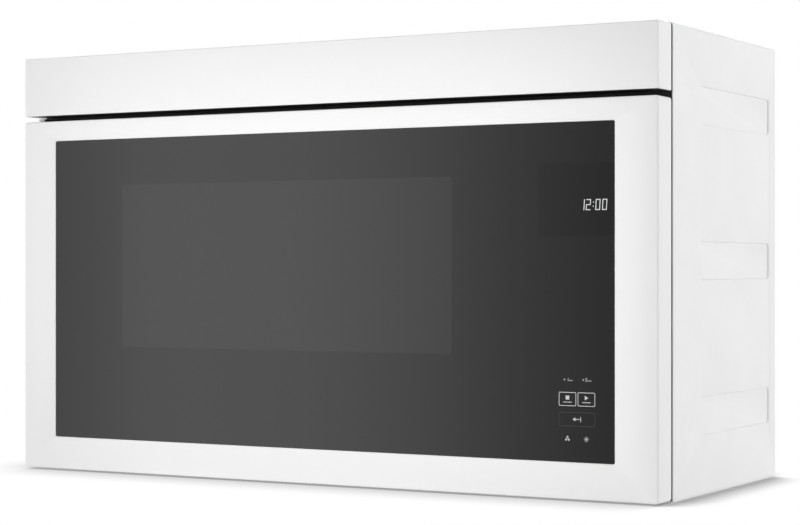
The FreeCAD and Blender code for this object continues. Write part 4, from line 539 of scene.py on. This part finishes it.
def addFrontBox(bm, low, high, depth, cornerRadius, edgeRadius):
    verts = addBox(bm, low, high)
    deep = [e for e in edgesOf(verts) if abs((e.verts[0].co - e.verts[1].co).y) > 1]
    bevelEdges(bm, deep, cornerRadius, 5)
    front = [e for e in bm.edges if all(abs(v.co.y - low[1]) < 0.01 for v in e.verts)]
    bevelEdges(bm, front, edgeRadius, 5)
    rear = facesAtDepth(bm, high[1])
    bmesh.ops.inset_region(bm, faces=rear, thickness=frontShape["wall"])
    rear = [f for f in facesAtDepth(bm, high[1]) if f.calc_area() > wideFace]
    grown = bmesh.ops.extrude_face_region(bm, geom=rear)
    inner = [g for g in grown["geom"] if isinstance(g, bmesh.types.BMVert)]
    bmesh.ops.delete(bm, geom=rear, context="FACES_ONLY")
    bmesh.ops.translate(bm, verts=inner, vec=(0, -depth, 0))
    bmesh.ops.remove_doubles(bm, verts=inner, dist=0.5)  # the inset closes up the inner corners
    return [v for v in inner if v.is_valid]


def cutAway(piece, cutters):
    # takes closed shapes, given as one mesh in millimetres, out of a finished piece
    bmesh.ops.scale(cutters, verts=cutters.verts, vec=(mm, mm, mm))
    mesh = bpy.data.meshes.new("cutter")
    cutters.to_mesh(mesh)
    cutters.free()
    cutter = bpy.data.objects.new("cutter", mesh)
    bpy.context.scene.collection.objects.link(cutter)
    cut = piece.modifiers.new("cut", "BOOLEAN")
    cut.operation = "DIFFERENCE"
    cut.solver = "EXACT"
    cut.object = cutter
    bpy.context.view_layer.update()
    result = bpy.data.meshes.new_from_object(piece.evaluated_get(bpy.context.evaluated_depsgraph_get()))
    piece.modifiers.remove(cut)
    piece.data = result
    bpy.data.objects.remove(cutter)


barScrew = {"xs": (-265.0, 265.0), "y": -136.5, "headBottom": 453.75, "head": 1.6, "seatRadius": 4.4,
            "seatReach": 10.0}


def makeVentBar():
    low, high = nodeBox("vent_bar")
    b = barScrew
    bm = bmesh.new()
    addFrontBox(bm, low, high, high[1] - low[1] - frontShape["wall"], frontShape["barCorner"],
                frontShape["barEdge"])
    for face in bm.faces:
        if abs(face.calc_center_median().z - low[2]) < 0.01:
            face.material_index = 1  # the underside, at the air outlet, is black: painted shade for the dark slot under the bar
    piece = finishPiece(bm, "ventBar", "cabinet", [finish["enamel"], finish["blackAbs"]],
                        ["vent_bar"])
    cutters = bmesh.new()
    for x in b["xs"]:
        addRod(cutters, (x, b["y"], b["headBottom"] + b["seatReach"] / 2), b["seatRadius"], b["seatReach"])
    cutAway(piece, cutters)


# screws: a pan head with a cross recess, drawn upright with the head's underside at zero
screwShape = {"headRadius": 4.0, "head": 2.2, "shankRadius": 2.0, "shank": 8.0, "cross": 1.9,
              "crossHalf": 0.5, "crossDepth": 1.2,
              "crown": ((1, 0), (1, 0.45), (0.92, 0.75), (0.78, 0.93), (0.62, 1))}  # radius, then height
panelScrews = {"hingeX": -346.9, "hingeY": -126.0, "hingeZs": (17.0, 33.0, 401.2, 417.2),
               "rearXs": (-330.0, -160.0, 160.0, 330.0), "rearY": 153.0, "rearZs": (30.0, 425.0)}


def addCross(bm, arm, half, level):
    verts = addShape(bm, bmesh.ops.create_grid, x_segments=3, y_segments=3, size=1.0)
    for v in verts:
        for axis in (0, 1):
            v.co[axis] = math.copysign(arm if abs(v.co[axis]) > 0.5 else half, v.co[axis])
    corners = [f for f in facesOf(verts) if all(abs(n) > half for n in f.calc_center_median()[:2])]
    bmesh.ops.delete(bm, geom=corners, context="FACES")
    verts = [v for v in verts if v.is_valid]
    bmesh.ops.dissolve_faces(bm, faces=facesOf(verts))
    verts = [v for v in verts if v.is_valid]
    bmesh.ops.translate(bm, verts=verts, vec=(0, 0, level))
    return verts


def addScrew(bm, place, head):
    c = screwShape
    before = set(bm.verts)
    rings = [addCircleFace(bm, 0, 0, wide * c["headRadius"], high * head, 24) for wide, high in c["crown"]]
    for ring in rings[1:]:
        bmesh.ops.delete(bm, geom=facesOf(ring), context="FACES_ONLY")
    bridge(bm, rings)
    flat = c["crown"][-1][0] * c["headRadius"]
    addSheet(bm, (addCircleFaceAt, flat, 24), [(addCross, c["cross"], c["crossHalf"])], 0.0, head)
    lip, floor = (addCross(bm, c["cross"], c["crossHalf"], level) for level in (head, head - c["crossDepth"]))
    bmesh.ops.delete(bm, geom=facesOf(lip), context="FACES_ONLY")
    bridge(bm, [lip, floor])
    addRod(bm, (0, 0, -c["shank"] / 2), c["shankRadius"], c["shank"], segments=16)
    verts = [v for v in bm.verts if v not in before]
    bmesh.ops.transform(bm, matrix=place, verts=verts)


def addCircleFaceAt(bm, radius, segments, level):
    return addCircleFace(bm, 0, 0, radius, level, segments)


def makeScrews():
    p, b = panelScrews, barScrew
    toFront, toRear = (Matrix.Rotation(math.radians(turn), 4, "X") for turn in (90, -90))
    bm = bmesh.new()
    for z in p["hingeZs"]:
        addScrew(bm, Matrix.Translation((p["hingeX"], p["hingeY"], z)) @ toFront, screwShape["head"])
    for x in p["rearXs"]:
        for z in p["rearZs"]:
            addScrew(bm, Matrix.Translation((x, p["rearY"], z)) @ toRear, screwShape["head"])
    finishPiece(bm, "panelScrews", "cabinet", finish["zinc"], ["panel_screws"])
    bm = bmesh.new()
    for x in b["xs"]:
        addScrew(bm, Matrix.Translation((x, b["y"], b["headBottom"])), b["head"])
    finishPiece(bm, "barScrews", "cabinet", finish["zinc"], ["bar_screws"])


# grease filters: a folded aluminium rim round each net
filterShape = {"rim": 9.0, "outerCorner": 2.0, "innerCorner": 3.0, "rounding": 0.7}


def makeFilterRims():
    f = filterShape
    for side in ("left", "right"):
        low, high = nodeBox("grease_filter_" + side)
        bm = bmesh.new()
        outer = (addRoundedFace, low[0], low[1], high[0], high[1], f["outerCorner"])
        inner = (addRoundedFace, low[0] + f["rim"], low[1] + f["rim"], high[0] - f["rim"],
                 high[1] - f["rim"], f["innerCorner"])
        addSheet(bm, outer, [inner], high[2] - low[2], high[2])
        finishPiece(bm, side + "FilterRim", side + "_filter", finish["aluminium"],
                    ["grease_filter_" + side], bevel=f["rounding"])


# the door: an enamelled frame with a ledge for the glass
glassPlace = {"left": -336.0, "right": 335.0, "bottom": 37.15, "top": 363.15, "front": -162.3,
              "back": -158.3, "corner": 1.5, "arris": 0.2, "gap": 0.15, "glassCorner": 1.4, "lip": 0.8,
              "ledge": 8.0, "ledgeFront": -158.0, "ledgeBack": -156.0}


def makeDoorFrame():
    low, high = nodeBox("door_frame")
    g = glassPlace
    bm = bmesh.new()
    inner = addFrontBox(bm, low, high, high[1] - g["ledgeBack"], frontShape["doorCorner"],
                        frontShape["doorEdge"])
    front = max(facesAtDepth(bm, low[1]), key=lambda f: f.calc_area())
    bmesh.ops.delete(bm, geom=[front], context="FACES_ONLY")
    outerLoop = {v for e in bm.edges if len(e.link_faces) == 1
                 for v in e.verts if abs(v.co.y - low[1]) < 0.01}
    hole = (g["left"], g["bottom"], g["right"], g["top"])
    seat = (g["left"] + g["ledge"], g["bottom"] + g["ledge"], g["right"] - g["ledge"], g["top"] - g["ledge"])
    lip = g["lip"]
    rings = []
    for grow, level in ((lip, low[1]), (0.3 * lip, low[1] + 0.3 * lip), (0, low[1] + lip),
                        (0, g["ledgeFront"])):
        x0, y0, x1, y1 = hole
        rings.append(addRoundedFace(bm, x0 - grow, y0 - grow, x1 + grow, y1 + grow, g["corner"] + grow,
                                    -level, 5))
    for level in (g["ledgeFront"], g["ledgeBack"]):
        rings.append(addRoundedFace(bm, *seat, g["corner"], -level, 5))
    for ring in rings:
        bmesh.ops.delete(bm, geom=facesOf(ring), context="FACES_ONLY")
        bmesh.ops.transform(bm, matrix=standing, verts=ring)
    bridge(bm, rings[:4])
    bridge(bm, rings[4:])
    fillBetween(bm, rings[3], rings[4], (0, -1, 0))  # the ledge is flat, so it is filled
    fillBetween(bm, list(outerLoop), rings[0], (0, -1, 0))
    floor = [f for f in facesOf(inner) if f.calc_area() > wideFace]
    bmesh.ops.delete(bm, geom=floor, context="FACES_ONLY")
    floorLoop = [v for v in inner if v.is_valid and any(len(e.link_faces) == 1 for e in v.link_edges)]
    fillBetween(bm, floorLoop, rings[-1], (0, 1, 0))
    return bm


def fillBetween(bm, outer, inner, normal):
    edges = [e for e in edgesOf(outer) + edgesOf(inner) if len(e.link_faces) < 2]
    bmesh.ops.triangle_fill(bm, use_beauty=True, edges=edges, normal=normal)


hingePlace = {"x": -368.9, "y": -143.5, "bossRadius": 6.6, "bossLength": 16.0, "bossTop": 0.05,
              "notchTop": 6.8, "notchFront": 8.5, "notchSide": 12.0}


def makeDoor():
    h = hingePlace
    low, high = nodeBox("door_frame")
    bm = makeDoorFrame()
    piece = finishPiece(bm, "doorFrame", "door", finish["enamel"], ["door_frame"])
    cutters = bmesh.new()
    addBox(cutters, (low[0] - 1, h["y"] - h["notchFront"], low[2] - 1),
           (h["x"] + h["notchSide"], high[1] + 1, h["notchTop"]))  # room for the lower hinge bracket
    cutAway(piece, cutters)
    bm = bmesh.new()
    for z0, z1 in ((h["notchTop"], h["notchTop"] + h["bossLength"]),
                   (high[2] - h["bossLength"], high[2] - h["bossTop"])):
        addRod(bm, (h["x"], h["y"], (z0 + z1) / 2), h["bossRadius"], z1 - z0, segments=40)
    finishPiece(bm, "hingeBosses", "door", finish["enamel"])


def makeDoorGlass():
    g = glassPlace
    bm = bmesh.new()
    gap = g["gap"]
    loops = []
    steps = ((g["arris"], g["front"]), (0, g["front"] + g["arris"]), (0, g["back"] - g["arris"]),
             (g["arris"], g["back"]))
    for inset, level in steps:
        loops.append(addRoundedFace(bm, g["left"] + gap + inset, g["bottom"] + gap + inset,
                                    g["right"] - gap - inset, g["top"] - gap - inset, g["glassCorner"],
                                    -level, 5))
    for loop in loops[1:-1]:
        bmesh.ops.delete(bm, geom=facesOf(loop), context="FACES_ONLY")
    bmesh.ops.transform(bm, matrix=standing, verts=bm.verts)
    bridge(bm, loops)
    finishPiece(bm, "doorGlass", "door", finish["blackGlass"], ["door_glass"])


# what shows on the glass: a clock and plain key signs, a hair proud of the glass
signs = {"level": 162.33, "thickness": 0.05, "line": 0.62, "leftColumn": 285.95, "rightColumn": 305.75,
         "quickRow": 116.25, "keyRow": 97.6, "openRow": 78.35, "lowRow": 59.55,
         "keyWidth": 18.2, "keyHeight": 13.3, "openWidth": 38.0, "openHeight": 13.6, "openLine": 0.5,
         "frameCorner": 1.2, "frameInnerCorner": 0.8, "stopSquare": 3.8, "startTriangle": 2.5,
         "lowSign": 2.6, "underline": 8.8, "underlineHigh": 0.7}
clock = {"right": 327.2, "middle": 283.5, "height": 10.5, "slant": 3.5, "figure": 4.9, "line": 0.85,
         "minutes": (0.0, 7.0), "hours": (("2", 16.9, 4.9), ("1", 23.3, 1.2)), "colon": 14.6, "dot": 1.0,
         "dotLevels": (0.3, 0.68)}
digitBars = {"0": "abcdef", "1": "bc", "2": "abged", "5": "afgcd"}


def addBar(bm, x0, y0, x1, y1):
    bmesh.ops.transform(bm, matrix=Matrix.Translation((0, 0, signs["level"])),
                        verts=addBox(bm, (x0, y0, 0), (x1, y1, signs["thickness"])))


def addDigit(bm, digit, x, y, width, height, line):
    # seven bars, named a to g round the figure
    half = height / 2
    gap = line * 0.12
    spans = {"a": (x + gap, y + height - line, x + width - gap, y + height),
             "d": (x + gap, y, x + width - gap, y + line),
             "g": (x + gap, y + half - line / 2, x + width - gap, y + half + line / 2),
             "b": (x + width - line, y + half + gap, x + width, y + height - gap),
             "c": (x + width - line, y + gap, x + width, y + half - gap),
             "f": (x, y + half + gap, x + line, y + height - gap),
             "e": (x, y + gap, x + line, y + half - gap)}
    for bar in digitBars[digit]:
        addBar(bm, *spans[bar])


def addFrame(bm, x, y, width, height, line):
    outer = (addRoundedFace, x - width / 2, y - height / 2, x + width / 2, y + height / 2,
             signs["frameCorner"])
    inner = (addRoundedFace, x - width / 2 + line, y - height / 2 + line, x + width / 2 - line,
             y + height / 2 - line, signs["frameInnerCorner"])
    addSheet(bm, outer, [inner], signs["thickness"], signs["level"] + signs["thickness"])


def finishSign(bm, name, material):
    bmesh.ops.transform(bm, matrix=standing, verts=bm.verts)
    finishPiece(bm, name, "door", material)


def makeClock():
    c = clock
    bm = bmesh.new()
    y = c["middle"] - c["height"] / 2
    figures = [("0", step, c["figure"]) for step in c["minutes"]] + list(c["hours"])
    for digit, step, width in figures:  # each step is from the clock's right end to the figure's
        addDigit(bm, digit, c["right"] - step - width, y, width, c["height"], c["line"])
    for share in c["dotLevels"]:
        x, level = c["right"] - c["colon"], y + c["height"] * share
        addBar(bm, x, level, x + c["dot"], level + c["dot"])
    slant = Matrix.Identity(4)
    slant[0][1] = math.tan(math.radians(c["slant"]))
    middle = Matrix.Translation((0, c["middle"], 0))
    bmesh.ops.transform(bm, matrix=middle @ slant @ middle.inverted(), verts=bm.verts)
    finishSign(bm, "clockDigits", finish["display"])


def signPlace(x, y, turn, rise=0.0):
    return Matrix.Translation((x, y, signs["level"] + rise)) @ Matrix.Rotation(math.radians(turn), 4, "Z")


def addFanSign(bm, x, y, size):
    # three round blades and a hub
    for blade in range(3):
        verts = addRoundedFace(bm, 0.35 * size, -0.42 * size, size, 0.42 * size, 0.3 * size, 0.0, 4)
        grown = bmesh.ops.extrude_face_region(bm, geom=facesOf(verts))
        top = [g for g in grown["geom"] if isinstance(g, bmesh.types.BMVert)]
        bmesh.ops.translate(bm, verts=top, vec=(0, 0, signs["thickness"]))
        bmesh.ops.transform(bm, matrix=signPlace(x, y, 90 + 120 * blade), verts=verts + top)
    addRod(bm, (x, y, signs["level"] + signs["thickness"] / 2), 0.22 * size, signs["thickness"], segments=16)


def addLampSign(bm, x, y, size):
    # a disc and eight rays
    addRod(bm, (x, y, signs["level"] + signs["thickness"] / 2), 0.42 * size, signs["thickness"], segments=24)
    for ray in range(8):
        verts = addBox(bm, (0.62 * size, -0.09 * size, 0), (size, 0.09 * size, signs["thickness"]))
        bmesh.ops.transform(bm, matrix=signPlace(x, y, 45 * ray), verts=verts)


def addTriangleSign(bm, x, y, size, turn):
    verts = addShape(bm, bmesh.ops.create_cone, cap_ends=True, segments=3, radius1=size, radius2=size,
                     depth=signs["thickness"])
    bmesh.ops.transform(bm, matrix=signPlace(x, y, turn, signs["thickness"] / 2), verts=verts)


def addCentredBar(bm, x, y, width, height):
    addBar(bm, x - width / 2, y - height / 2, x + width / 2, y + height / 2)


def addQuickSign(bm, x, y, digit):
    # a plus, a figure and three short dashes
    addCentredBar(bm, x - 3.2, y, 2.0, 0.5)
    addCentredBar(bm, x - 3.2, y, 0.5, 2.0)
    addDigit(bm, digit, x - 0.9, y - 1.7, 1.9, 3.4, 0.5)
    for dash in range(3):
        addCentredBar(bm, x + 2.4 + dash * 1.2, y - 0.85, 0.8, 0.7)


def makeKeySigns():
    s = signs
    left, right = s["leftColumn"], s["rightColumn"]
    middle = (left + right) / 2
    bm = bmesh.new()
    for x in (left, right):
        addFrame(bm, x, s["keyRow"], s["keyWidth"], s["keyHeight"], s["line"])
        addCentredBar(bm, x, s["keyRow"] - 2.95, s["underline"], s["underlineHigh"])
    addCentredBar(bm, left, s["keyRow"] + 1.4, s["stopSquare"], s["stopSquare"])
    addTriangleSign(bm, right - 0.4, s["keyRow"] + 1.4, s["startTriangle"], -90)
    addQuickSign(bm, left, s["quickRow"], "1")
    addQuickSign(bm, right, s["quickRow"], "5")
    addTriangleSign(bm, middle - 2.6, s["openRow"], 2.1, 90)  # an arrow that comes away from a post
    addCentredBar(bm, middle + 0.6, s["openRow"], 4.0, 0.8)
    addCentredBar(bm, middle + 3.95, s["openRow"], 0.7, 4.8)
    addFanSign(bm, left, s["lowRow"], s["lowSign"])
    addLampSign(bm, right, s["lowRow"], s["lowSign"])
    finishSign(bm, "keySigns", finish["ink"])
    bm = bmesh.new()
    addFrame(bm, middle, s["openRow"], s["openWidth"], s["openHeight"], s["openLine"])
    finishSign(bm, "openKeyFrame", finish["faintInk"])


# the cabinet's wrap: one bent sheet with three pressed recesses in each side
cabinetShape = {"front": -126.0, "rear": 162.5, "bottom": 1.5, "top": 457.2, "half": 379.4, "corner": 3.0,
                "sheet": 1.0, "recessFront": -55.5, "recessRear": 142.5, "recessHeight": 38.5,
                "recessRadius": 5.0, "recessDepth": 1.6, "slope": 1.3, "slopeSteps": 6,
                "levels": (77.7, 230.3, 382.9),
                "ductHalf": 127.0, "ductFront": 62.0, "ductRear": 144.6, "cordX": 304.4, "cordY": 62.5,
                "cordRadius": 15.0, "boltX": 305.0, "boltY": -86.0, "boltRadius": 3.3}


def addRecess(bm, x0, y0, x1, y1):
    # rings that sink along a soft slope, then a floor
    c = cabinetShape
    loops = []
    for step in range(c["slopeSteps"] + 1):
        share = step / c["slopeSteps"]
        sink = c["recessDepth"] * (1 - math.cos(math.pi * share)) / 2
        inset = c["slope"] * share
        loops.append(addRoundedFace(bm, x0 + inset, y0 + inset, x1 - inset, y1 - inset,
                                    c["recessRadius"] - inset * 0.6, -sink, 6))
    for loop in loops[:-1]:
        bmesh.ops.delete(bm, geom=facesOf(loop), context="FACES_ONLY")
    bridge(bm, loops)
    return [v for loop in loops for v in loop]


def makeCabinetShell():
    c = cabinetShape
    bm = bmesh.new()
    y0, y1 = c["front"], c["rear"]
    sideTop = c["top"] - c["corner"]
    for side, turned in ((1, facingRight), (-1, facingLeft)):
        spans = [(c["recessFront"], z - c["recessHeight"] / 2, c["recessRear"], z + c["recessHeight"] / 2)
                 for z in c["levels"]]
        verts = addSheet(bm, (addRoundedFace, y0, c["bottom"], y1, sideTop, 0.0),
                         [(addRoundedFace, *span, c["recessRadius"]) for span in spans])
        for span in spans:
            verts += addRecess(bm, *span)
        bmesh.ops.translate(bm, verts=verts, vec=(0, 0, c["half"]))
        bmesh.ops.transform(bm, matrix=turned, verts=verts)
        ridge = [e for e in edgesOf(verts) if all(abs(v.co.z - sideTop) < 0.01 for v in e.verts)]
        bmesh.ops.spin(bm, geom=ridge, cent=(side * (c["half"] - c["corner"]), 0, sideTop), axis=(0, 1, 0),
                       angle=-side * math.pi / 2, steps=6, use_merge=False, use_duplicate=False)
    holes = [(addRoundedFace, -c["ductHalf"], c["ductFront"], c["ductHalf"], c["ductRear"], 3.0),
             (addCircleFace, c["cordX"], c["cordY"], c["cordRadius"]),
             (addCircleFace, -c["boltX"], c["boltY"], c["boltRadius"]),
             (addCircleFace, c["boltX"], c["boltY"], c["boltRadius"])]
    edge = c["half"] - c["corner"]
    addSheet(bm, (addRoundedFace, -edge, y0, edge, y1, 0.0), holes, 0.0, c["top"])
    bmesh.ops.remove_doubles(bm, verts=bm.verts, dist=0.01)
    bmesh.ops.recalc_face_normals(bm, faces=bm.faces)
    roof = max(bm.faces, key=lambda f: f.calc_center_median().z)
    if roof.normal.z < 0:
        bmesh.ops.reverse_faces(bm, faces=bm.faces)
    piece = finishPiece(bm, "cabinetShell", "cabinet", finish["powder"], ["outer_cabinet"],
                        flip=False)
    wall = piece.modifiers.new("sheet", "SOLIDIFY")
    wall.thickness = c["sheet"] * mm
    wall.offset = -1.0


# stage, light and camera
# shadowReach, near, clear and dark shape the painted shadow on the floor
stageShape = {"size": 14.0, "drop": 0.0004, "shadowReach": 0.085, "sideEdge": 0.3794,
              "near": (0.0, 0.48), "clear": (0.95, 0.8), "dark": (0.33, 0.25)}  # in front, then at the side
view = {"place": (1.131, -1.978, 0.223), "forward": (-0.4935, 0.8698, 0.0), "focalPixels": 2083.5,
        "imageWidth": 800, "sensor": 36.0, "shiftAcross": 0.0007, "shiftUp": 0.0070}


def makeStage():
    # matt white paper; the camera sees it lifted to white, less a painted shadow of the object worked from
    # ambient occlusion
    material, tree, surface, place = startMaterial("paleFloor", "F4F4F4", 0.9)
    shadeVariation(tree, surface, place, "F3F3F3", "F5F5F5", 400)
    rays = addNode(tree, "ShaderNodeLightPath")
    nearness = addNode(tree, "ShaderNodeAmbientOcclusion", {"Distance": stageShape["shadowReach"]},
                       samples=24)
    parts = addNode(tree, "ShaderNodeSeparateXYZ", {"Vector": place})
    limits = []
    # painted shadow: one curve in front, and a narrower one that is darker at its deepest past the right side
    for front, side in (stageShape["near"], stageShape["clear"], stageShape["dark"]):
        limits.append(addNode(tree, "ShaderNodeMapRange", {
            "Value": parts.outputs["X"], "From Min": stageShape["sideEdge"] - 0.01,
            "From Max": stageShape["sideEdge"] + 0.004, "To Min": front, "To Max": side}).outputs["Result"])
    shade = addNode(tree, "ShaderNodeMapRange", {
        "Value": nearness.outputs["AO"], "From Min": limits[0], "From Max": limits[1],
        "To Min": limits[2], "To Max": 1.0})
    seen = addNode(tree, "ShaderNodeEmission", {"Color": (1, 1, 1, 1), "Strength": shade.outputs["Result"]})
    mixed = addNode(tree, "ShaderNodeMixShader", {
        0: rays.outputs["Is Camera Ray"], 1: surface.outputs["BSDF"], 2: seen.outputs["Emission"]})
    tree.links.new(mixed.outputs["Shader"], tree.nodes["Material Output"].inputs["Surface"])
    bm = bmesh.new()
    verts = addShape(bm, bmesh.ops.create_grid, x_segments=1, y_segments=1, size=stageShape["size"] / 2)
    bmesh.ops.translate(bm, verts=verts, vec=(0, 0, -stageShape["drop"]))
    mesh = bpy.data.meshes.new("floor")
    bm.to_mesh(mesh)
    bm.free()
    floor = bpy.data.objects.new("floor", mesh)
    bpy.context.scene.collection.objects.link(floor)
    mesh.materials.append(material)
    floor.visible_glossy = False  # metal and glass show the studio below as above


# what polished faces see all round: a soft bright field in front, darker to its right
studioRing = ((0.0, 0.5), (0.055, 0.42), (0.0661, 0.536), (0.073, 0.836), (0.0783, 1.177), (0.0837, 1.486),
              (0.0898, 1.71), (0.1004, 1.745), (0.1049, 1.448), (0.1079, 1.171), (0.115, 1.0), (1.0, 0.9))


def makeWorld():
    world = bpy.data.worlds.new("studio")
    bpy.context.scene.world = world
    world.use_nodes = True
    tree = world.node_tree
    tree.nodes.clear()
    rays = addNode(tree, "ShaderNodeLightPath")
    seen = addNode(tree, "ShaderNodeMath", {
        0: rays.outputs["Is Camera Ray"], 1: rays.outputs["Is Transmission Ray"]}, operation="MAXIMUM")
    direction = addNode(tree, "ShaderNodeTexCoord")
    parts = addNode(tree, "ShaderNodeSeparateXYZ", {"Vector": direction.outputs["Generated"]})
    turn = addNode(tree, "ShaderNodeMath", {0: parts.outputs["X"], 1: parts.outputs["Y"]},
                   operation="ARCTAN2")
    ramp = addNode(tree, "ShaderNodeValToRGB", {"Fac": addNode(tree, "ShaderNodeMapRange", {
        "Value": turn.outputs["Value"], "From Min": -math.pi, "From Max": math.pi}).outputs["Result"]})
    elements = ramp.color_ramp.elements
    while len(elements) < len(studioRing):
        elements.new(0.5)
    for element, (position, level) in zip(elements, studioRing):
        element.position = position
        element.color = (level, level, level, 1)
    plain = addNode(tree, "ShaderNodeBackground", {"Color": (1, 1, 1, 1), "Strength": 0.3})
    glossy = addNode(tree, "ShaderNodeBackground", {"Color": ramp.outputs["Color"], "Strength": 1.0})
    white = addNode(tree, "ShaderNodeBackground", {"Color": (1, 1, 1, 1), "Strength": 1.0})
    first = addNode(tree, "ShaderNodeMixShader", {
        0: rays.outputs["Is Glossy Ray"], 1: plain.outputs["Background"], 2: glossy.outputs["Background"]})
    second = addNode(tree, "ShaderNodeMixShader", {
        0: seen.outputs["Value"], 1: first.outputs["Shader"], 2: white.outputs["Background"]})
    addNode(tree, "ShaderNodeOutputWorld", {"Surface": second.outputs["Shader"]})


lamps = {
    "leftSoftbox": {"place": (-2.6, -6.5, 0.9), "target": (0, -0.1, 0.25), "width": 2.5, "height": 2.5,
                    "power": 220},
    "rightSoftbox": {"place": (3.8, 1.7, 1.7), "target": (0.3, 0, 0.25), "width": 2.0, "height": 2.0,
                     "power": 95},
    "frontPanel": {"place": (0.01, -0.3125, 0.145), "target": (0.01, 0, 0.145), "width": 0.68,
                   "height": 0.62, "power": 0.59},
    "rearSoftbox": {"place": (-2.4, 5.2, 3.4), "target": (0, 0, 0.25), "width": 3.0, "height": 3.0,
                    "power": 170},
}


def makeLamp(name, place, target, width, height, power):
    data = bpy.data.lights.new(name, "AREA")
    data.shape = "RECTANGLE"
    data.size = width
    data.size_y = height
    data.energy = power
    lamp = bpy.data.objects.new(name, data)
    bpy.context.scene.collection.objects.link(lamp)
    lamp.location = place
    lamp.rotation_euler = (Vector(target) - Vector(place)).to_track_quat("-Z", "Y").to_euler()
    lamp.visible_glossy = False
    lamp.visible_camera = False


def makeCamera():
    v = view
    data = bpy.data.cameras.new("camera")
    data.sensor_width = v["sensor"]
    data.sensor_fit = "HORIZONTAL"
    data.lens = v["focalPixels"] / v["imageWidth"] * v["sensor"]
    data.shift_x = v["shiftAcross"]
    data.shift_y = v["shiftUp"]
    data.clip_end = 50
    camera = bpy.data.objects.new("camera", data)
    bpy.context.scene.collection.objects.link(camera)
    camera.location = v["place"]
    camera.rotation_euler = Vector(v["forward"]).to_track_quat("-Z", "Y").to_euler()
    bpy.context.scene.camera = camera


makeVentBar()
makeScrews()
makeFilterRims()
makeDoor()
makeDoorGlass()
makeClock()
makeKeySigns()
makeCabinetShell()
print("outer pieces made")

makeStage()
makeWorld()
for lampName, lampSettings in lamps.items():
    makeLamp(lampName, **lampSettings)
makeCamera()
bpy.context.scene.view_settings.view_transform = "Standard"
print("stage, lamps and camera set")
